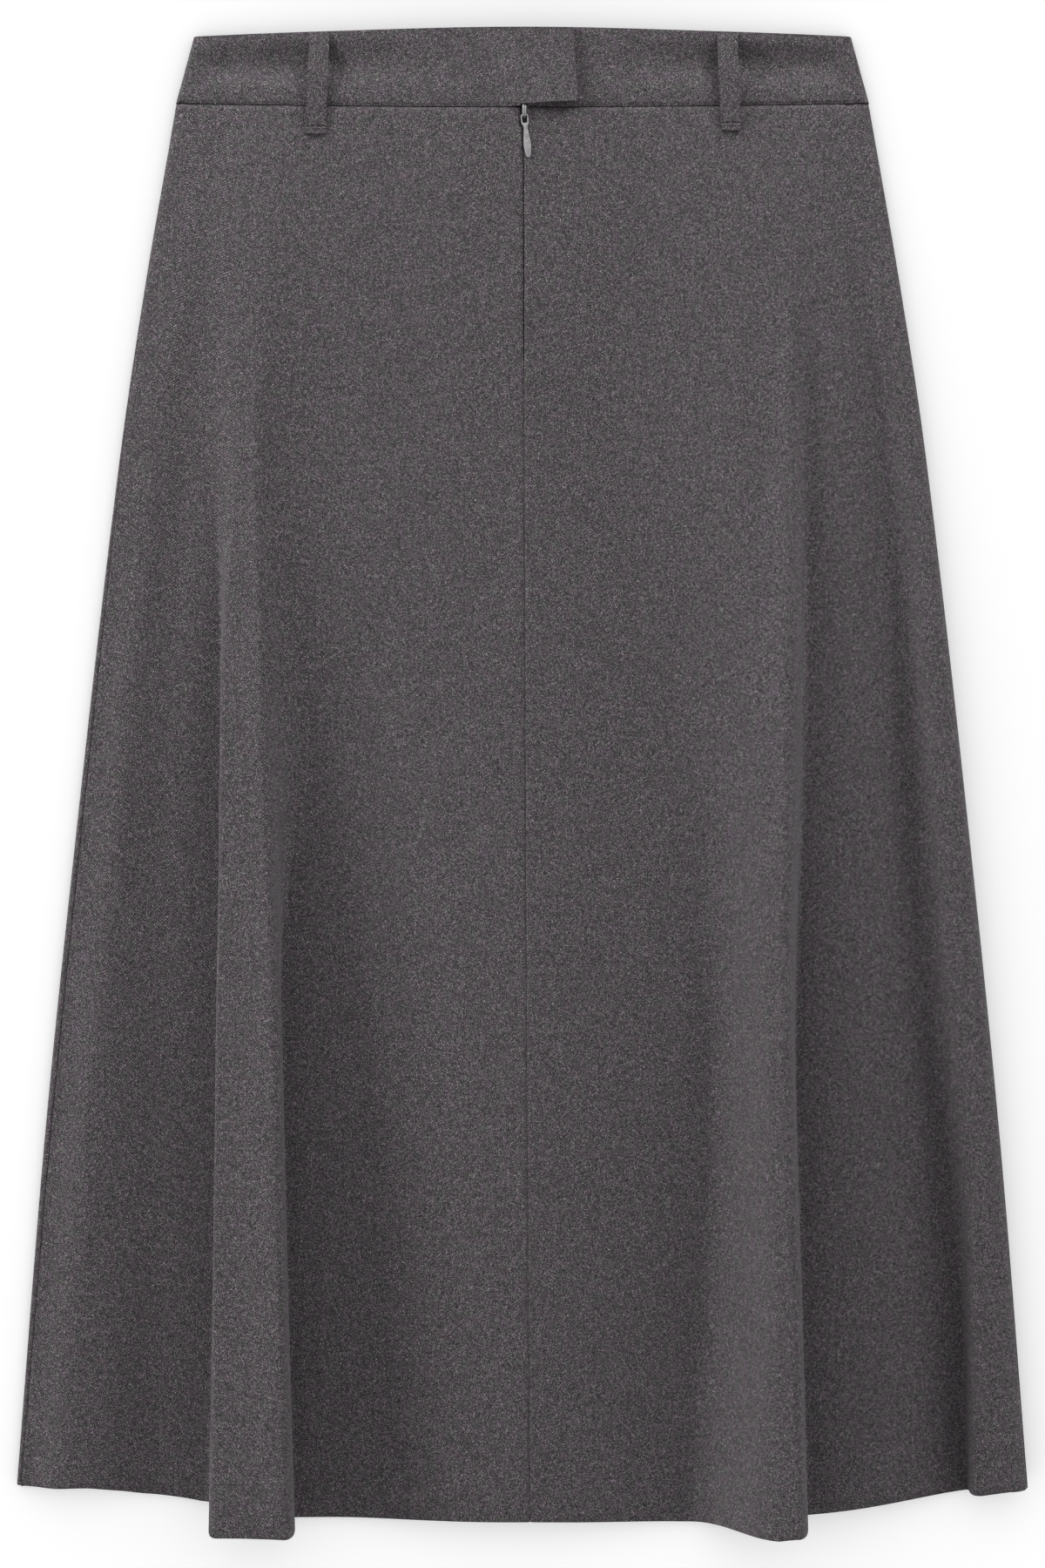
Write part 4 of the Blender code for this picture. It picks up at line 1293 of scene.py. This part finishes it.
def zip_frame():
    """The slider's frame: its origin on the cloth under the pivot, its y up the seam along the cloth."""
    pivot_y = SLIDER_TOP_Y - PIVOT_FROM_TOP
    x = centre_seam(0.0)
    low = back_height(x, pivot_y - PULL_LENGTH)
    here = back_height(x, pivot_y)
    tilt = math.atan2(here - low, PULL_LENGTH)
    return Matrix.Translation((x + SLIDER_OFF_SEAM, pivot_y, here)) @ Matrix.Rotation(tilt, 4, "X")


def sharp_edges(bm, degrees):
    """The edges at which two faces turn by more than an angle."""
    limit = math.radians(degrees)
    return [edge for edge in bm.edges if len(edge.link_faces) == 2 and edge.calc_face_angle() > limit]


def round_off(bm, edges, width, segments):
    """Rounds edges off by a width."""
    bmesh.ops.bevel(bm, geom=edges, offset=width, offset_type="OFFSET", segments=segments, profile=0.5,
                    affect="EDGES", material=-1)


def mesh_piece(name, bm, material, body):
    """A piece of the zip from its finished mesh, shaded smooth except at its sharp edges."""
    bmesh.ops.recalc_face_normals(bm, faces=bm.faces)
    mesh = bpy.data.meshes.new(name)
    bm.to_mesh(mesh)
    bm.free()
    mesh.materials.append(material)
    mesh.shade_smooth()
    mesh.set_sharp_from_angle(angle=math.radians(PIECE_DEGREES))
    obj = bpy.data.objects.new(name, mesh)
    bpy.context.scene.collection.objects.link(obj)
    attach(obj, body)
    return obj


def curve_through(points, steps):
    """A smooth closed line through points, steps to each."""
    count = len(points)
    found = []
    for n in range(count):
        p0, p1, p2, p3 = (points[(n + k) % count] for k in (-1, 0, 1, 2))
        for m in range(steps):
            t = m / steps
            found.append(
                0.5 * (2 * p1 + (p2 - p0) * t + (2 * p0 - 5 * p1 + 4 * p2 - p3) * t * t
                       + (3 * p1 - p0 - 3 * p2 + p3) * t**3)
            )
    return found


def loop_edges(bm, points):
    """The edges of a closed line through points."""
    verts = [bm.verts.new(p) for p in points]
    return [bm.edges.new((a, b)) for a, b in zip(verts, verts[1:] + verts[:1])]


def make_pull(material):
    """The teardrop pull with its eye, as a flat casting with rounded edges."""
    right = [Vector((row.half_width, -row.along, 0.0)) for row in PULL_OUTLINE]
    left = [Vector((-p.x, p.y, 0.0)) for p in reversed(right[1:-1])]
    bm = bmesh.new()
    edges = loop_edges(bm, curve_through(right + left, 4))
    eye_x, eye_top = EYE_HALF_WIDTH - EYE_BAR, -EYE_BAR / 2
    corners = []
    for x, y, start in (
        (eye_x, eye_top, 0), (-eye_x, eye_top, 90), (-eye_x, EYE_LOW, 180), (eye_x, EYE_LOW, 270)
    ):
        inset = EYE_CORNER if start >= 180 else -EYE_CORNER
        centre = Vector((x - math.copysign(EYE_CORNER, x), y + inset, 0.0))
        for n in range(5):
            angle = math.radians(start + 90 * n / 4)
            corners.append(centre + Vector((math.cos(angle), math.sin(angle), 0.0)) * EYE_CORNER)
    edges += loop_edges(bm, corners)
    filled = bmesh.ops.triangle_fill(bm, edges=edges, use_beauty=True)
    faces = [item for item in filled["geom"] if isinstance(item, bmesh.types.BMFace)]
    made = bmesh.ops.extrude_face_region(bm, geom=faces)
    upper = [item for item in made["geom"] if isinstance(item, bmesh.types.BMVert)]
    bmesh.ops.translate(bm, vec=(0, 0, PULL_WALL), verts=upper)
    bmesh.ops.translate(bm, vec=(0, 0, -PULL_WALL / 2), verts=bm.verts)
    bmesh.ops.recalc_face_normals(bm, faces=bm.faces)
    round_off(bm, sharp_edges(bm, 60), PULL_RIM, 3)
    place = zip_frame() @ Matrix.Translation((0, 0, PIVOT_Z)) @ Matrix.Rotation(PULL_TURN, 4, "Z")
    bm.transform(place)
    return mesh_piece("pull", bm, material, "pull")


def make_rail(bm, inner, outer, drop):
    """A strip of the slider's arch between two distances from its middle."""
    rings = []
    for n, (y, z) in enumerate(RAIL_PATH):
        before, after = RAIL_PATH[max(0, n - 1)], RAIL_PATH[min(len(RAIL_PATH) - 1, n + 1)]
        along = Vector((after[0] - before[0], after[1] - before[1])).normalized()
        normal = Vector((-along.y, along.x)) * RAIL_HALF_WALL
        taper = 1.0 if 1 < n < len(RAIL_PATH) - 2 else 0.8
        rings.append([
            bm.verts.new((x * taper, y + side * normal.x, z - drop + side * normal.y))
            for x, side in ((inner, -1), (outer, -1), (outer, 1), (inner, 1))
        ])
    for a, b in zip(rings, rings[1:]):
        for n in range(4):
            bm.faces.new((a[n], a[(n + 1) % 4], b[(n + 1) % 4], b[n]))
    bm.faces.new(rings[0][::-1])
    bm.faces.new(rings[-1])


def make_slider(material):
    """The slider: two arched rails that hold the pull's bar, over a body that stands in the open seam."""
    bm = bmesh.new()
    make_rail(bm, -SLIDER_HALF_WIDTH, -GROOVE_HALF_WIDTH, 0.0)
    make_rail(bm, -GROOVE_HALF_WIDTH, GROOVE_HALF_WIDTH, GROOVE_DEPTH)
    make_rail(bm, GROOVE_HALF_WIDTH, SLIDER_HALF_WIDTH, 0.0)
    body = bmesh.ops.create_cube(bm, size=1.0)["verts"]
    size = (1.5 * SLIDER_HALF_WIDTH, SLIDER_LENGTH, SLIDER_BODY_HEIGHT)
    bmesh.ops.scale(bm, vec=size, verts=body)
    bmesh.ops.translate(bm, vec=(0, (RAIL_TOP + RAIL_LOW) / 2, -SLIDER_BODY_HEIGHT), verts=body)
    bmesh.ops.recalc_face_normals(bm, faces=bm.faces)
    round_off(bm, sharp_edges(bm, 55), SLIDER_RIM, 2)
    bm.transform(zip_frame())
    return mesh_piece("slider", bm, material, "skirt")


def make_coil(material):
    """The zip's coil under the seam, as a row of rounded turns."""
    bm = bmesh.new()
    drop = NOTCH_LENGTH
    while drop < ZIP_LENGTH:
        at = drop / seam_drop(1.0)
        x = centre_seam(at)
        y = mix(seam_y(x, at), HEM.centre, at)
        turned = bmesh.ops.create_cube(bm, size=1.0)["verts"]
        bmesh.ops.scale(bm, vec=COIL_TURN, verts=turned)
        z = base_height(x, at) + relief(x, y) - bpy.context.scene.skirt.cloth - COIL_DEPTH
        bmesh.ops.translate(bm, vec=(x, y, z), verts=turned)
        drop += COIL_PITCH
    round_off(bm, bm.edges[:], COIL_RIM, 1)
    return mesh_piece("coil", bm, material, "skirt")


def tape_rows():
    """The tape's rows, from the waist seam to past the end of the zip."""
    rows = []
    for n in range(TAPE_ROWS + 1):
        at = (TAPE_START + (ZIP_LENGTH + TAPE_TAIL) * n / TAPE_ROWS) / seam_drop(1.0)
        row = []
        for m in range(TAPE_COLUMNS + 1):
            x = centre_seam(at) + (2 * m / TAPE_COLUMNS - 1) * TAPE_HALF_WIDTH
            y = mix(seam_y(x, at), HEM.centre, at)
            row.append(Vector((x, y, base_height(x, at) - TAPE_DEPTH)))
        rows.append(row)
    return rows


class SKIRT_OT_zip(bpy.types.Operator):
    """Make the invisible zip: tape, coil, slider and teardrop pull"""

    bl_idname = "skirt.zip"
    bl_label = "Zip"

    def execute(self, context):
        rows = tape_rows()
        uvs = grid_uvs(rows, TAPE_COLUMNS // 2, TAPE_ROWS)
        tape = cloth_grid("tape", rows, TAPE_WALL, finish("tape_woven"), uvs)
        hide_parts("zip_tape")
        coil = make_coil(finish("tape_woven"))
        slider = make_slider(finish("slider_coated"))
        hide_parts("zip_slider")
        pull = make_pull(finish("pull_coated"))
        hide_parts("zip_pull")
        return {"FINISHED"}


# ---------------------------------------------------------------- stage

TABLE_HALF = 8.0
TABLE_DROP = 0.0002      # keeps the table's face clear of the cloth's
LIGHT_DISTANCE = 2.6
LIGHT_SIZE = (0.9, 0.7)
LIGHT_HEIGHT = 18        # degrees above the table
LIGHT_BEARINGS = (("left_light", 150), ("right_light", 60))
CAMERA_Y = -0.0042
WHITE = (1, 1, 1, 1)


def make_table(settings):
    """The pale table."""
    mesh = bpy.data.meshes.new("table")
    bm = bmesh.new()
    bmesh.ops.create_grid(bm, x_segments=1, y_segments=1, size=TABLE_HALF)
    bmesh.ops.translate(bm, vec=(0, 0, -TABLE_DROP), verts=bm.verts)
    bm.to_mesh(mesh)
    bm.free()
    table = bpy.data.objects.new("table", mesh)
    bpy.context.scene.collection.objects.link(table)
    material, _, shader = new_material("table")
    shader.inputs["Base Color"].default_value = (*settings.table, 1)
    shader.inputs["Roughness"].default_value = 0.9
    shader.inputs["Specular IOR Level"].default_value = 0.1
    shader.inputs["Emission Color"].default_value = WHITE
    shader.inputs["Emission Strength"].default_value = settings.glow
    mesh.materials.append(material)
    return table


def make_light(name, bearing, power, lit):
    """A soft light at a bearing, which falls on everything that the collection doesn't leave out."""
    light = bpy.data.lights.new(name, "AREA")
    light.shape = "RECTANGLE"
    light.size, light.size_y = LIGHT_SIZE
    light.energy = power
    lamp = bpy.data.objects.new(name, light)
    bearing, height = math.radians(bearing), math.radians(LIGHT_HEIGHT)
    level = math.cos(height)
    way = Vector((math.cos(bearing) * level, math.sin(bearing) * level, math.sin(height)))
    lamp.location = way * LIGHT_DISTANCE
    lamp.rotation_euler = way.to_track_quat("Z", "Y").to_euler()
    bpy.context.scene.collection.objects.link(lamp)
    lamp.light_linking.receiver_collection = lit


class SKIRT_OT_stage(bpy.types.Operator):
    """Set up the pale table, the soft lights and the camera straight above"""

    bl_idname = "skirt.stage"
    bl_label = "Stage"

    def execute(self, context):
        scene = context.scene
        settings = scene.skirt_stage
        # The table is left out of what the two lamps light, so that only the even light falls on it.
        lit = bpy.data.collections.new("all_but_table")
        lit.objects.link(make_table(settings))
        lit.collection_objects[0].light_linking.link_state = "EXCLUDE"
        for name, bearing in LIGHT_BEARINGS:
            make_light(name, bearing, getattr(settings, name), lit)
        world = bpy.data.worlds.new("room")
        world.use_nodes = True
        background = world.node_tree.nodes["Background"]
        background.inputs["Color"].default_value = WHITE
        background.inputs["Strength"].default_value = settings.room
        scene.world = world
        camera = bpy.data.cameras.new("camera")
        camera.lens = settings.lens
        camera.sensor_width = 36
        camera.clip_start = 0.05
        seen = bpy.data.objects.new("camera", camera)
        seen.location = (0, CAMERA_Y, settings.distance)
        scene.collection.objects.link(seen)
        scene.camera = seen
        scene.view_settings.view_transform = "Standard"
        return {"FINISHED"}


class SKIRT_PT_pieces(bpy.types.Panel):
    """Shows the skirt's and the stage's settings, with a button for each step that makes pieces or the
    stage
    """

    bl_label = "Skirt"
    bl_idname = "SKIRT_PT_pieces"
    bl_space_type = "VIEW_3D"
    bl_region_type = "UI"
    bl_category = "Skirt"

    def draw(self, context):
        layout = self.layout
        for settings in (context.scene.skirt, context.scene.skirt_stage):
            for name in settings.bl_rna.properties.keys():
                if name not in ("rna_type", "name"):
                    layout.prop(settings, name)
        for operator in OPERATORS:
            layout.operator(operator.bl_idname)


OPERATORS = (SKIRT_OT_panels, SKIRT_OT_waistband, SKIRT_OT_belt_loops, SKIRT_OT_zip, SKIRT_OT_stage)
CLASSES = (SkirtSettings, StageSettings, *OPERATORS, SKIRT_PT_pieces)


def register():
    for cls in CLASSES:
        bpy.utils.register_class(cls)
    bpy.types.Scene.skirt = PointerProperty(type=SkirtSettings)
    bpy.types.Scene.skirt_stage = PointerProperty(type=StageSettings)


def unregister():
    del bpy.types.Scene.skirt_stage
    del bpy.types.Scene.skirt
    for cls in reversed(CLASSES):
        bpy.utils.unregister_class(cls)


def main():
    register()
    bpy.ops.skirt.panels()
    bpy.ops.skirt.waistband()
    bpy.ops.skirt.belt_loops()
    bpy.ops.skirt.zip()
    bpy.ops.skirt.stage()


if __name__ == "__main__":
    main()
